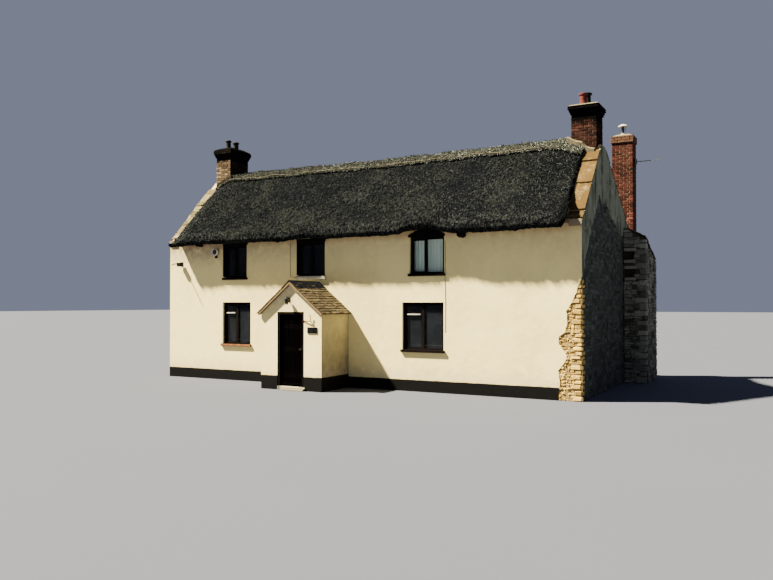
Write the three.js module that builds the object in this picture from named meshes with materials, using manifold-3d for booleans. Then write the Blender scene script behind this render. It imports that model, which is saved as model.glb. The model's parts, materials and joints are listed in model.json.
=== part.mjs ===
// A two-storey thatched cottage: rendered masonry walls, a thatched roof between slated verges,
// brick chimneys on both gables, a third brick stack on a stone breast, and a gabled porch with a door.
// Millimetres. +X runs along the front towards the right-hand gable, +Y into the house, +Z up.
// The origin is at ground level, in the middle of the main range's plan.
import * as THREE from "three";
import { mergeVertices } from "three/addons/utils/BufferGeometryUtils.js";
import Module from "manifold-3d";

const wasm = await Module();
wasm.setup();

// Main range
const GAP = 0.3; // left between two pieces that rest on each other
const LENGTH = 13000;
const DEPTH = 5700;
const WALL = 550;
const GABLE_WALL = 600;
const LEFT = -LENGTH / 2;
const RIGHT = LENGTH / 2;
const FRONT = -DEPTH / 2;
const REAR = DEPTH / 2;

// Roof planes, as the top of the gable masonry
const RIDGE_AT = 2235; // counted from the front face
const RIDGE_Y = FRONT + RIDGE_AT;
const FRONT_EAVES_Z = 4185;
const REAR_EAVES_Z = 4480;
const APEX_Z = 6560;
const APEX_FLAT_Z = 6400;
const FRONT_PITCH = (APEX_Z - FRONT_EAVES_Z) / (RIDGE_Y - FRONT);
const REAR_PITCH = (APEX_Z - REAR_EAVES_Z) / (REAR - RIDGE_Y);
const FLAT_FRONT = (APEX_FLAT_Z - FRONT_EAVES_Z) / FRONT_PITCH; // counted from the front face
const FLAT_REAR = DEPTH - (APEX_FLAT_Z - REAR_EAVES_Z) / REAR_PITCH;

// Floors
const GROUND_FLOOR_TOP = 150;
const UPPER_FLOOR_Z = 2420;
const UPPER_FLOOR_THICKNESS = 180;

// Thatch
const THATCH_END = RIGHT - 375;
const THATCH_STATIONS = 40;
const RIDGE_SAG = 70;
const RIDGE_TOP_Z = 6650;
const RIDGE_CAP_HALF = 620;
const RIDGE_CAP_THICKNESS = 85;
const RIDGE_CAP_EDGE = 0.8; // of that thickness, at the cap's lower edges
const THATCH_ROW = 300; // longest step between rows down a slope
const THATCH_STEEP = 1.6; // how much faster than the slope rises, the lift of the eaves dies out
const EAVES_BROWS = [{ window: 2, lift: 150, half: 900 }, { window: 1, lift: 90, half: 700 }];
const EAVES_WAVES = [{ height: 14, length: 900, start: 0 }, { height: 10, length: 410, start: 1 }];
// The unevenness of old thatch: hummocks a little under a metre apart, level at the eaves
const SWELL = {
  height: 14, crossed: 1.5, across: { length: 1370, skew: 0.35 }, down: { length: 1490, skew: 0.22, start: 0.8 },
  broad: { share: 0.5, x: 730, y: 410 }, level: { from: -220, over: 500 },
};
const RIDGE_RUFFLE = { height: 11, length: 97, start: 2.1 };
const RIDGE_BED = 2;
const REAR_LIP = 6150; // counted from the front face
const FRONT_LIP_CORNERS = { under: [-380, 4020], middle: [-510, 4140] };
const REAR_LIP_CORNERS = { under: [6080, 4360], middle: [6190, 4480] };
const THATCH_LEAST = 60;
const LEFT_ARRIS = { depth: 275, length: 620 };
const STACK_FALL = { depth: 230, length: 650, level: 460, fade: 800 };
// The right-hand edge of the thatch. Columns: distance from the front wall's face, how far the surface
// falls at its end, the length that it falls over, and how far its arris reaches over the slates
const RIGHT_EDGE = [
  [-80, 45, 310, 125],
  [720, 277, 1250, -95],
  [1130, 268, 1100, -92],
  [1775, 230, 650, 0],
  [2695, 230, 650, 0],
  [3495, 45, 310, 0],
];

// Windows: centre along the wall, sill height, width and height of the opening
const UPPER_SILL_Z = 3030;
const LOWER_SILL_Z = 1050;
const FRONT_WINDOWS = [
  { name: "upper_left", x: -3855, z: UPPER_SILL_Z, width: 870, height: 1000, split: 0.5 },
  { name: "upper_middle", x: -1110, z: UPPER_SILL_Z, width: 920, height: 1000, split: 0.5 },
  { name: "upper_right", x: 2495, z: UPPER_SILL_Z, width: 990, height: 1000, split: 0.47 },
  { name: "lower_left", x: -3805, z: LOWER_SILL_Z, width: 1070, height: 1280, split: 0.5, transom: 0.8 },
  { name: "lower_right", x: 2375, z: LOWER_SILL_Z, width: 1190, height: 1270, split: 0.5, transom: 0.8 },
];
const REAR_WINDOWS = [
  { name: "rear_upper", x: 1500, z: 3150, width: 900, height: 1000, split: 0.5 },
  { name: "rear_lower", x: -2200, z: LOWER_SILL_Z, width: 1070, height: 1200, split: 0.5, transom: 0.8 },
];
const REVEAL = 65; // how far a frame stands back from the face of the wall
const FRAME_DEPTH = 80;
const FRAME_BAR = 55;
const SASH_BAR = 45;
const BAR_DEPTH = 30;
const PANE = 6;
const SILL_HEIGHT = 70;
const SILL_REACH = 55;
const SILL_HORN = 35;
const FIXED_LIGHT = { inset: 12, larger: 20 }; // the fixed right-hand light has no sash
const CURTAIN = { behind: 60, depth: 60 }; // behind the frame

// Inner doorway between the house and the porch
const DOOR_X = -855;
const DOORWAY = 860;
const INNER_DOORWAY_Z = 2000;

// Porch
const PORCH_X = -848;
const PORCH_WIDTH = 1950;
const PORCH_REACH = 1330;
const PORCH_WALL = 230;
const PORCH_EAVES_Z = 2060;
const PORCH_APEX_Z = 2850;
const PORCH_FLOOR_Z = 100;
const PORCH_DOORWAY_Z = 2070;
const PORCH_ROOF_EAVES = 80;
const PORCH_ROOF_VERGE = 90;
const PORCH_TILE_COURSES = 12;
const PORCH_TILE_STEP = 16;
const PORCH_TILE_BASE = 36;
const PORCH_FRONT = FRONT - PORCH_REACH;
const PORCH_LEAD = { leg: 250, thickness: 14 };

// Door
const DOOR_REVEAL = 12;
const DOOR_FRAME_BAR = 50;
const DOOR_FRAME_DEPTH = 95;
const DOOR_THICKNESS = 45;
const DOOR_CLEARANCE = 6;
const DOOR_LATCH_CLEARANCE = 9;
const DOOR_STOP = 18; // how far the stop stands out of the frame
const DOOR_STRAP = 420;
const HINGE_OFFSET = 18; // from the inner face of the leaf to the pin's axis
const HINGE_HEIGHTS = [350, 1650];
const PIN_RADIUS = 6;
const EYE_RADIUS = 12;
const EYE_HEIGHT = 45;

// Verges: the slate lengths on the slope, from the eaves up
const VERGE_OVERHANG = 8;
const VERGE_START = 55; // from the front face to the lowest slate's tail
const FRONT_VERGE_RUNS = [205, 687, 590, 325];
const REAR_VERGE_REACH = 150; // past the rear wall's face
const REAR_VERGE_SLATES = 6;
const LEFT_SLATE_BED = 55; // the left-hand front slates lie on more mortar
const SLATE_TAIL = 72;
const SLATE_HEAD = 38;

// Chimneys: centre, plan size, and the heights of their mouldings
const RIGHT_CHIMNEY = {
  x: 6087, y: RIDGE_Y + 30, width: 660, depth: 700, foot: 5950, corbel: 7215, top: 7440,
};
const LEFT_CHIMNEY = {
  x: -5880, y: RIDGE_Y, width: 600, depth: 920, foot: 5850, corbel: 7170, top: 7425,
};
const REAR_CHIMNEY = {
  x: 6215, y: 3680, width: 630, depth: 560, foot: 4250, corbel: 7275, top: 7490,
};
const CORBEL_COURSE = 62;
const CORBEL_STEP = 25;
const FLAUNCH = 120;
const FLAUNCH_DRAW = 0.5;
const POT_BED = 20; // depth that a pot stands in its flaunching
const REAR_BAND = 30; // reach of the band of bricks round the rear stack

// Stone breast at the rear corner
const BREAST_FRONT = 2000;
const BREAST_SIDE_REAR = 3700;
const BREAST_REAR = 4060;
const BREAST_LEFT = 5600;
const BREAST_TOP = 4250;
const BREAST_REACH = 620;
const BREAST_BATTER = 40;
const BREAST_SIDE_TOP = 4535; // at the gable, on the front
const BREAST_FALL_OUT = 0.56;
const BREAST_FALL_BACK = 0.33;
const BREAST_LIGHTS = [[30, 280, 3560, 3800], [60, 310, 3050, 3290]];
const BREAST_SLATES = { courses: 3, from: 75, reach: 20, verge: 40, lap: 20, head: 30, tail: 58 };

const X = new THREE.Vector3(1, 0, 0);
const Y = new THREE.Vector3(0, 1, 0);
const Z = new THREE.Vector3(0, 0, 1);

const finish = (color, roughness, metalness = 0) =>
  new THREE.MeshStandardMaterial({ color, roughness, metalness });
const RENDER_COAT = finish(0xece0c4, 0.95);
const RUBBLE = finish(0x6f6a5e, 0.95);
const BRICK = finish(0x8a4a38, 0.9);
const THATCH = finish(0x5c564a, 1);
const STRAW = finish(0x9a8a68, 1);
const SLATE = finish(0xc9a86a, 0.85);
const PORCH_TILE = finish(0xa89270, 0.85);
const LEAD = finish(0x3c3f46, 0.6);
const DARK_TIMBER = finish(0x2c1d18, 0.55);
const GLASS = finish(0x2c3438, 0.08);
const CLOTH = finish(0x9fb3ae, 0.95);
const FLAGSTONE = finish(0x8b8273, 0.9);
const BOARDS = finish(0x7a5f42, 0.8);
const RED_CLAY = finish(0xb5543f, 0.8);
const BLACK_CLAY = finish(0x2a2626, 0.7);
const BUFF_CLAY = finish(0xd8cbb2, 0.8);
const IRON = finish(0x1f1f20, 0.5, 0.6);
const WHITE_METAL = finish(0xe6e6e2, 0.4, 0.1);
const ALUMINIUM = finish(0x8f9294, 0.45, 0.9);

const house = new THREE.Group();

function add(name, geometry, material, parent = house) {
  const mesh = new THREE.Mesh(geometry, material);
  mesh.name = name;
  parent.add(mesh);
  return mesh;
}

// Plain shapes

function box(x0, x1, y0, y1, z0, z1) {
  const made = new THREE.BoxGeometry(x1 - x0, y1 - y0, z1 - z0);
  return made.translate((x0 + x1) / 2, (y0 + y1) / 2, (z0 + z1) / 2);
}

function outline(points) {
  return new THREE.Shape(points.map(([a, b]) => new THREE.Vector2(a, b)));
}

function extrude(shape, depth) {
  return new THREE.ExtrudeGeometry(shape, { depth, bevelEnabled: false, curveSegments: 8 });
}

// An outline in Y and Z, drawn out along X
function alongX(points, x0, x1) {
  const turn = new THREE.Matrix4().makeBasis(Y, Z, X);
  return extrude(outline(points), x1 - x0).applyMatrix4(turn).translate(x0, 0, 0);
}

// A shape in X and Z, drawn out along Y
function alongY(shape, y0, y1) {
  const turn = new THREE.Matrix4().makeBasis(X, Z, Y.clone().negate());
  return extrude(shape, y1 - y0).applyMatrix4(turn).translate(0, y1, 0);
}

// An outline in X and Y, drawn up along Z
function alongZ(points, z0, z1) {
  return extrude(outline(points), z1 - z0).translate(0, 0, z0);
}

function rod(radius, height, sides = 12) {
  return new THREE.CylinderGeometry(radius, radius, height, sides).rotateX(Math.PI / 2);
}

function rectangle(x0, x1, y0, y1) {
  return outline([[x0, y0], [x1, y0], [x1, y1], [x0, y1]]);
}

function hole(x0, x1, y0, y1) {
  return new THREE.Path([[x0, y0], [x0, y1], [x1, y1], [x1, y0]].map(([a, b]) => new THREE.Vector2(a, b)));
}

// Cutting and joining

function solid(geometry) {
  const bare = geometry.index ? geometry.toNonIndexed() : geometry.clone();
  bare.deleteAttribute("normal");
  bare.deleteAttribute("uv");
  const merged = mergeVertices(bare, 1e-3);
  return new wasm.Manifold(new wasm.Mesh({
    numProp: 3,
    vertProperties: new Float32Array(merged.attributes.position.array),
    triVerts: new Uint32Array(merged.index.array),
  }));
}

function surface(manifold) {
  const { vertProperties, triVerts } = manifold.getMesh();
  const made = new THREE.BufferGeometry();
  made.setAttribute("position", new THREE.BufferAttribute(new Float32Array(vertProperties), 3));
  made.setIndex(new THREE.BufferAttribute(new Uint32Array(triVerts), 1));
  made.computeVertexNormals();
  return made;
}

function cut(geometry, ...tools) {
  return surface(tools.reduce((left, tool) => left.subtract(solid(tool)), solid(geometry)));
}

function join(first, ...rest) {
  return surface(rest.reduce((sum, other) => sum.add(solid(other)), solid(first)));
}

// A box with its faces divided, each point moved to place(u, v, w) with u, v and w from 0 to 1
function bentBox(nu, nv, nw, place) {
  const made = new THREE.BoxGeometry(1, 1, 1, nu, nv, nw);
  const at = made.attributes.position;
  for (let i = 0; i < at.count; i++) {
    const [x, y, z] = place(at.getX(i) + 0.5, at.getY(i) + 0.5, at.getZ(i) + 0.5);
    at.setXYZ(i, x, y, z);
  }
  return made;
}

// Floors

const INSIDE_LEFT = LEFT + GABLE_WALL;
const INSIDE_RIGHT = RIGHT - GABLE_WALL;
const INSIDE_FRONT = FRONT + WALL;
const INSIDE_REAR = REAR - WALL;

function roomSlab(z0, z1) {
  return box(INSIDE_LEFT + GAP, INSIDE_RIGHT - GAP, INSIDE_FRONT + GAP, INSIDE_REAR - GAP, z0, z1);
}

function makeFloors() {
  add("ground_floor", roomSlab(0, GROUND_FLOOR_TOP), FLAGSTONE);
  add("first_floor", roomSlab(UPPER_FLOOR_Z, UPPER_FLOOR_Z + UPPER_FLOOR_THICKNESS), BOARDS);
}

// Walls

function opening(window, y0, y1) {
  const { x, z, width, height } = window;
  return box(x - width / 2, x + width / 2, y0, y1, z, z + height);
}

function frontWallPiece(name, x0, x1, z0) {
  const slope = FRONT_EAVES_Z + FRONT_PITCH * WALL;
  const section = [
    [FRONT, z0], [INSIDE_FRONT, z0], [INSIDE_FRONT, slope], [FRONT, FRONT_EAVES_Z],
  ];
  const holes = FRONT_WINDOWS.filter(({ x, width }) => x - width / 2 < x1 && x + width / 2 > x0)
    .map((window) => opening(window, FRONT - 10, INSIDE_FRONT + 10));
  const wall = alongX(section, x0, x1);
  add(name, holes.length ? cut(wall, ...holes) : wall, RENDER_COAT);
}

function makeFrontWall() {
  const left = DOOR_X - DOORWAY / 2;
  const right = DOOR_X + DOORWAY / 2;
  frontWallPiece("front_wall_left", INSIDE_LEFT + GAP, left, 0);
  frontWallPiece("front_wall_right", right, INSIDE_RIGHT - GAP, 0);
  frontWallPiece("front_wall_over_door", left + GAP, right - GAP, INNER_DOORWAY_Z);
}

function makeRearWall() {
  const slope = REAR_EAVES_Z + REAR_PITCH * WALL;
  const section = [[INSIDE_REAR, 0], [REAR, 0], [REAR, REAR_EAVES_Z], [INSIDE_REAR, slope]];
  const wall = alongX(section, INSIDE_LEFT + GAP, INSIDE_RIGHT - GAP);
  const holes = REAR_WINDOWS.map((window) => opening(window, INSIDE_REAR - 10, REAR + 10));
  add("rear_wall", cut(wall, ...holes), RENDER_COAT);
}

function chimneyBox({ x, y, width, depth, foot }, margin) {
  const a = width / 2 + margin;
  const b = depth / 2 + margin;
  return box(x - a, x + a, y - b, y + b, foot - margin, 9000);
}

const KNEELER = { reach: 40, seat: 50, length: 300, foot: 4105, top: 4268 };

function makeGable(name, x0, x1, kneelerX0, chimney) {
  const section = [
    [FRONT, 0], [REAR, 0], [REAR, REAR_EAVES_Z], [FRONT + FLAT_REAR, APEX_FLAT_Z],
    [FRONT + FLAT_FRONT, APEX_FLAT_Z], [FRONT, FRONT_EAVES_Z],
  ];
  const { reach, seat, length, foot, top } = KNEELER;
  const kneeler = box(kneelerX0, kneelerX0 + length, FRONT - reach, FRONT + seat, foot, top);
  const wall = join(alongX(section, x0, x1), kneeler);
  add(name, cut(wall, chimneyBox(chimney, GAP)), RENDER_COAT);
}

function makeGables() {
  makeGable("left_gable_wall", LEFT, INSIDE_LEFT, LEFT, LEFT_CHIMNEY);
  makeGable("right_gable_wall", INSIDE_RIGHT, RIGHT, RIGHT - KNEELER.length, RIGHT_CHIMNEY);
}

// Thatch

// How far the eaves lift over an upper window, from 0 at its sides to 1 in the middle
function brow(x, centre, half) {
  const t = Math.abs(x - centre) / half;
  return t >= 1 ? 0 : Math.cos((t * Math.PI) / 2) ** 2;
}

function eavesLift(x) {
  const brows = EAVES_BROWS.map(({ window, lift, half }) => lift * brow(x, FRONT_WINDOWS[window].x, half));
  const waves = EAVES_WAVES.map(({ height, length, start }) => height * Math.sin(x / length + start));
  return [...brows, ...waves].reduce((sum, part) => sum + part, 0);
}

function sag(x) {
  return RIDGE_SAG * (1 - (x / THATCH_END) ** 2);
}

function swell(x, y) {
  const { height, crossed, across, down, broad, level } = SWELL;
  const alongRidge = Math.sin((2 * Math.PI * (x + across.skew * y)) / across.length);
  const downSlope = Math.sin((2 * Math.PI * (y - down.skew * x)) / down.length + down.start);
  const atFront = Math.max(0, (y - level.from) / level.over);
  const atRear = Math.max(0, (REAR_LIP - y) / level.over);
  const waves = alongRidge * downSlope * crossed + broad.share * Math.sin(x / broad.x + y / broad.y);
  return height * Math.min(1, atFront, atRear) * waves;
}

// A column of RIGHT_EDGE at a distance from the front wall's face
function rightEdge(column, y) {
  const next = RIGHT_EDGE.findIndex(([at]) => at > y);
  if (next === 0) return RIGHT_EDGE[0][column];
  if (next < 0) return RIGHT_EDGE[RIGHT_EDGE.length - 1][column];
  const [from, to] = [RIGHT_EDGE[next - 1], RIGHT_EDGE[next]];
  return from[column] + ((to[column] - from[column]) * (y - from[0])) / (to[0] - from[0]);
}

// How far the surface falls towards the slates and the stacks at its ends
function endFall(x, y) {
  const fromEnd = THATCH_END - Math.abs(x);
  if (x > 0) return rightEdge(1, y) * Math.max(0, 1 - fromEnd / rightEdge(2, y));
  const toStack = Math.max(0, 1 - fromEnd / STACK_FALL.length);
  const fromRidge = Math.abs(y - RIDGE_AT) - STACK_FALL.level;
  const nearRidge = Math.min(1, Math.max(0, 1 - fromRidge / STACK_FALL.fade));
  const toEdge = Math.max(0, 1 - fromEnd / LEFT_ARRIS.length);
  return Math.max(STACK_FALL.depth * toStack * nearRidge, LEFT_ARRIS.depth * toEdge);
}

// How far the upper arris of the right-hand end reaches over the slates, or stands back from them
function edgeShift(x, y) {
  return x < THATCH_END - 1 ? 0 : rightEdge(3, y);
}

// Corners of each slope: how far from the front face, the height of the surface, and where the
// underside lies under it, also counted from the front face
const FRONT_PROFILE = [
  [-470, 4310, -380], [-220, 4552, 0], [120, 4882, 300], [560, 5308, 700], [1000, 5734, 1100],
  [1400, 6122, 1500], [RIDGE_AT - RIDGE_CAP_HALF, 6318, 1750], [1815, 6500, FLAT_FRONT],
  [RIDGE_AT, RIDGE_TOP_Z, RIDGE_AT],
];
const REAR_PROFILE = [
  [RIDGE_AT, RIDGE_TOP_Z, RIDGE_AT], [2655, 6535, FLAT_REAR], [RIDGE_AT + RIDGE_CAP_HALF, 6423, 2920],
  [3200, 6230, 3200], [3900, 5850, 3900], [4600, 5450, 4600], [5300, 5060, 5300], [5800, 4790, 5700],
  [REAR_LIP, 4610, 6080],
];

// The same slope with rows between its corners
function rowsOf(profile) {
  const rows = profile.slice(1).flatMap((to, i) => {
    const from = profile[i];
    const count = Math.ceil(Math.hypot(to[0] - from[0], to[1] - from[1]) / THATCH_ROW - 0.2);
    return Array.from({ length: count }, (_, k) => from.map((value, j) => value + ((to[j] - value) * k) / count));
  });
  return [...rows, profile[profile.length - 1]];
}

function underside(y) {
  const front = FRONT_EAVES_Z + FRONT_PITCH * y;
  const rear = REAR_EAVES_Z + REAR_PITCH * (DEPTH - y);
  return Math.min(front, rear, APEX_FLAT_Z) + GAP;
}

function thatchTop(x, y, z) {
  const rise = (z - FRONT_PROFILE[0][1]) / (RIDGE_TOP_Z - FRONT_PROFILE[0][1]);
  const lift = y < RIDGE_AT ? eavesLift(x) * Math.max(0, 1 - rise * THATCH_STEEP) : 0;
  const surface = z - sag(x) * Math.min(1, rise) ** 2 + lift + swell(x, y) - endFall(x, y);
  const onMasonry = y > 0 && y < DEPTH;
  return onMasonry ? Math.max(surface, underside(y) + THATCH_LEAST) : surface;
}

// y is counted from the front face of the house, as the tables above count it
function thatchSlope(profile, front, lip, seam) {
  const rows = rowsOf(profile);
  const last = rows.length - 1;
  const lipIndex = front ? 0 : last;
  return bentBox(THATCH_STATIONS, last, 2, (u, v, w) => {
    const x = THATCH_END * (2 * u - 1);
    const i = Math.round(v * last);
    const [topY, topZ, underY] = rows[i];
    const atLip = i === lipIndex;
    const lift = atLip && front ? eavesLift(x) : 0;
    const top = [topY, thatchTop(x, topY, topZ)];
    const under = atLip ? [lip.under[0], lip.under[1] + lift] : [underY, underside(underY)];
    let [y, z] = [under[0] + (top[0] - under[0]) * w, under[1] + (top[1] - under[1]) * w];
    if (atLip && w > 0.4 && w < 0.6) [y, z] = [lip.middle[0], lip.middle[1] + lift];
    if (Math.abs(y - RIDGE_AT) < 1) y += seam;
    return [w > 0.6 ? x + edgeShift(x, y) : x, FRONT + y, z];
  });
}

// The ridge's straw lies on both slopes, row for row, and its top is ruffled. The box is turned over
// and its sides swapped, so that the cells of its underside are halved the way that the slopes' are.
function ridgeCap() {
  const front = rowsOf(FRONT_PROFILE).filter(([y]) => y >= RIDGE_AT - RIDGE_CAP_HALF - 1);
  const rear = rowsOf(REAR_PROFILE).filter(([y]) => y > RIDGE_AT && y <= RIDGE_AT + RIDGE_CAP_HALF + 1);
  const rows = [...front, ...rear];
  const last = rows.length - 1;
  return bentBox(last, THATCH_STATIONS, 1, (v, u, depth) => {
    const x = THATCH_END * (2 * u - 1);
    const i = Math.round(v * last);
    const [y, z] = rows[i];
    const ruffle = RIDGE_RUFFLE.height * Math.sin(x / RIDGE_RUFFLE.length + i * RIDGE_RUFFLE.start);
    const share = i === 0 || i === last ? RIDGE_CAP_EDGE : 1;
    const thickness = RIDGE_CAP_THICKNESS * share + ruffle;
    return [x + edgeShift(x, y), FRONT + y, thatchTop(x, y, z) + RIDGE_BED + thickness * (1 - depth)];
  });
}

function makeThatch() {
  const stacks = [RIGHT_CHIMNEY, LEFT_CHIMNEY].map((chimney) => chimneyBox(chimney, GAP));
  const front = thatchSlope(FRONT_PROFILE, true, FRONT_LIP_CORNERS, -GAP / 2);
  const rear = thatchSlope(REAR_PROFILE, false, REAR_LIP_CORNERS, GAP / 2);
  add("thatch_front", cut(front, ...stacks), THATCH);
  add("thatch_rear", cut(rear, ...stacks), THATCH);
  add("thatch_ridge", cut(ridgeCap(), ...stacks), STRAW);
}

// Verge slates: one strip on each slope of each gable, stepped where a slate's tail lies on the next

function vergeStrip(start, toward, pitch, startZ, runs, bed = 0) {
  const under = [];
  const over = [];
  let y = start;
  runs.forEach((run) => {
    const z0 = startZ + pitch * Math.abs(y - start);
    const next = y + toward * run;
    const z1 = startZ + pitch * Math.abs(next - start);
    over.push([y, z0 + bed + SLATE_TAIL], [next, z1 + bed + SLATE_HEAD]);
    y = next;
  });
  under.push([start, startZ + GAP], [y, startZ + pitch * Math.abs(y - start) + GAP]);
  const points = [under[0], ...over, under[1]];
  return toward > 0 ? points.reverse() : points;
}

function makeVerges() {
  const sides = [
    ["left", LEFT - VERGE_OVERHANG, -THATCH_END - GAP, LEFT_CHIMNEY],
    ["right", THATCH_END + GAP, RIGHT + VERGE_OVERHANG, RIGHT_CHIMNEY],
  ];
  sides.forEach(([side, x0, x1, { y, depth }]) => {
    const frontStart = FRONT + VERGE_START;
    const frontEnd = y - depth / 2 - GAP;
    const frontZ = FRONT_EAVES_Z + FRONT_PITCH * VERGE_START;
    const scale = (frontEnd - frontStart) / FRONT_VERGE_RUNS.reduce((sum, run) => sum + run, 0);
    const frontRuns = FRONT_VERGE_RUNS.map((run) => run * scale);
    const bed = side === "left" ? LEFT_SLATE_BED : 0;
    const front = vergeStrip(frontStart, 1, FRONT_PITCH, frontZ, frontRuns, bed);
    add(`${side}_front_verge_slates`, alongX(front, x0, x1), SLATE);
    const rearStart = REAR + REAR_VERGE_REACH;
    const rearEnd = y + depth / 2 + GAP;
    const rearZ = REAR_EAVES_Z - REAR_PITCH * REAR_VERGE_REACH;
    const rearRuns = Array(REAR_VERGE_SLATES).fill((rearStart - rearEnd) / REAR_VERGE_SLATES);
    const rear = vergeStrip(rearStart, -1, REAR_PITCH, rearZ, rearRuns);
    add(`${side}_rear_verge_slates`, alongX(rear, x0, x1), SLATE);
  });
}

// Chimneys

function chimneyStack({ width, depth, foot, corbel, top }) {
  const slab = (reach, z0, z1) =>
    box(-width / 2 - reach, width / 2 + reach, -depth / 2 - reach, depth / 2 + reach, z0, z1);
  const courses = [1, 2, 3].map((step) => {
    const z = corbel + (step - 1) * CORBEL_COURSE;
    return slab(step * CORBEL_STEP, z, z + CORBEL_COURSE + 1);
  });
  return join(slab(0, foot, top), ...courses, slab(3 * CORBEL_STEP, corbel + 3 * CORBEL_COURSE, top));
}

function rearStack({ width, depth, foot, corbel, top }) {
  const slab = (reach, z0, z1) =>
    box(-width / 2 - reach, width / 2 + reach, -depth / 2 - reach, depth / 2 + reach, z0, z1);
  return join(slab(0, foot + GAP, top), slab(REAR_BAND, corbel, corbel + CORBEL_COURSE));
}

function flaunching({ width, depth, top }, reach) {
  const a = width / 2 + reach;
  const b = depth / 2 + reach;
  return bentBox(1, 1, 1, (u, v, w) => {
    const draw = w ? FLAUNCH_DRAW : 1;
    return [a * (2 * u - 1) * draw, b * (2 * v - 1) * draw, top + GAP + w * FLAUNCH];
  });
}

// A pot open at the top, on the flaunching
function pot(radius, height, rim) {
  const bore = radius - 25;
  const profile = [
    [bore, 0], [radius * 1.1, 0], [radius, 60], [radius * 0.92, height - 60],
    [radius + rim, height - 45], [radius + rim, height], [bore, height], [bore, 0],
  ];
  const points = profile.map(([r, z]) => new THREE.Vector2(r, z));
  return new THREE.LatheGeometry(points, 14).rotateX(Math.PI / 2);
}

function cowledPot(radius, height) {
  const stays = [0, 1, 2].map((i) => {
    const angle = (i * 2 * Math.PI) / 3;
    const r = radius - 14;
    return rod(7, 130, 6).translate(r * Math.cos(angle), r * Math.sin(angle), height + 50);
  });
  const dish = new THREE.LatheGeometry(
    [[0, 0], [150, 0], [150, 12], [90, 60], [0, 78]].map(([r, z]) => new THREE.Vector2(r, z)), 16)
    .rotateX(Math.PI / 2).translate(0, 0, height + 110);
  return join(pot(radius, height, 12), ...stays, dish);
}

// The stack, and the pots in the bed of mortar that holds them on its top
function makeChimney(side, size, stack, reach, material, pots) {
  const group = new THREE.Group();
  group.position.set(size.x, size.y, 0);
  add(`${side}_chimney_stack`, stack, BRICK, group);
  const foot = size.top + FLAUNCH - POT_BED;
  const stood = pots.map(([x, y, geometry]) => geometry.translate(x, y, foot));
  add(`${side}_chimney_pots`, join(flaunching(size, reach), ...stood), material, group);
  house.add(group);
}

function makeChimneys() {
  const right = [[-55, -150, pot(98, 250, 12)], [-15, 130, pot(92, 320, 16)]];
  makeChimney("right", RIGHT_CHIMNEY, chimneyStack(RIGHT_CHIMNEY), 70, RED_CLAY, right);
  const left = [[22, -235, pot(84, 260, 14)], [-45, 225, pot(92, 285, 14)]];
  makeChimney("left", LEFT_CHIMNEY, chimneyStack(LEFT_CHIMNEY), 70, BLACK_CLAY, left);
  const rear = [[-24, 20, cowledPot(88, 135)]];
  makeChimney("rear", REAR_CHIMNEY, rearStack(REAR_CHIMNEY), -12, BUFF_CLAY, rear);
}

// Stone breast under the rear stack, with a battered side that stands out past the gable

function makeBreast() {
  const wallX = RIGHT + GAP;
  const top = (x, y) =>
    BREAST_SIDE_TOP - BREAST_FALL_OUT * (x - wallX) - BREAST_FALL_BACK * (y - BREAST_FRONT);
  const side = bentBox(1, 1, 1, (u, v, w) => {
    const x = wallX + u * (BREAST_REACH + (w ? 0 : BREAST_BATTER));
    const y = BREAST_FRONT + v * (BREAST_SIDE_REAR - BREAST_FRONT);
    return [x, y, w ? top(x, y) : 0];
  });
  const back = box(BREAST_LEFT, wallX + 60, REAR + GAP, BREAST_REAR, 0, BREAST_TOP);
  const lights = BREAST_LIGHTS.map(([x0, x1, z0, z1]) =>
    box(RIGHT + x0, RIGHT + x1, BREAST_FRONT - 10, BREAST_FRONT + 200, z0, z1));
  add("stone_breast", cut(join(side, back), ...lights), RUBBLE);
  add("breast_slates", breastSlates(top), SLATE);
}

// Courses that fall away from the gable, from beside the seat of the rear stack to the edge
function breastSlates(top) {
  const { courses, from, reach, verge, lap, head, tail } = BREAST_SLATES;
  const run = (BREAST_REACH + reach - from) / courses;
  return join(...Array.from({ length: courses }, (_, course) => bentBox(1, 1, 1, (u, v, w) => {
    const x = RIGHT + from + (course + u) * run - (u ? 0 : course && lap);
    const y = BREAST_FRONT - verge + v * (BREAST_SIDE_REAR - BREAST_FRONT + 2 * verge);
    return [x, y, top(x, y) + 1 + (w ? (u ? tail : head) : 0)];
  })));
}

// Windows: a frame with its sill, and one sheet of glass behind the bars

function windowFrame({ width, height, split, transom }) {
  const a = width / 2 - GAP;
  const ring = rectangle(-a, a, GAP, height - GAP);
  const inner = [-a + FRAME_BAR, a - FRAME_BAR, FRAME_BAR, height - FRAME_BAR];
  ring.holes.push(hole(...inner));
  const bars = rectangle(-a + 1, a - 1, 1, height - 1);
  const mullion = -a + 2 * a * split;
  const sash = FRAME_BAR + SASH_BAR;
  const low = FRAME_BAR + SASH_BAR;
  const high = height - FRAME_BAR - SASH_BAR;
  const leftPane = [-a + sash, mullion - SASH_BAR * 1.5, low];
  if (transom) {
    const z = low + (high - low) * transom;
    bars.holes.push(hole(...leftPane, z - SASH_BAR / 2), hole(leftPane[0], leftPane[1], z + SASH_BAR / 2, high));
  } else {
    bars.holes.push(hole(...leftPane, high));
  }
  const { inset, larger } = FIXED_LIGHT;
  bars.holes.push(hole(mullion + SASH_BAR * 0.5, a - FRAME_BAR - inset, low - larger, high + larger));
  const y = REVEAL;
  const nose = box(-a - SILL_HORN, a + SILL_HORN, -SILL_REACH, -GAP, 4 - SILL_HEIGHT / 2, SILL_HEIGHT / 2);
  const tread = box(-a, a, -SILL_REACH, y + 10, GAP, SILL_HEIGHT / 2);
  return join(alongY(ring, y, y + FRAME_DEPTH), alongY(bars, y, y + BAR_DEPTH), tread, nose);
}

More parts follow.
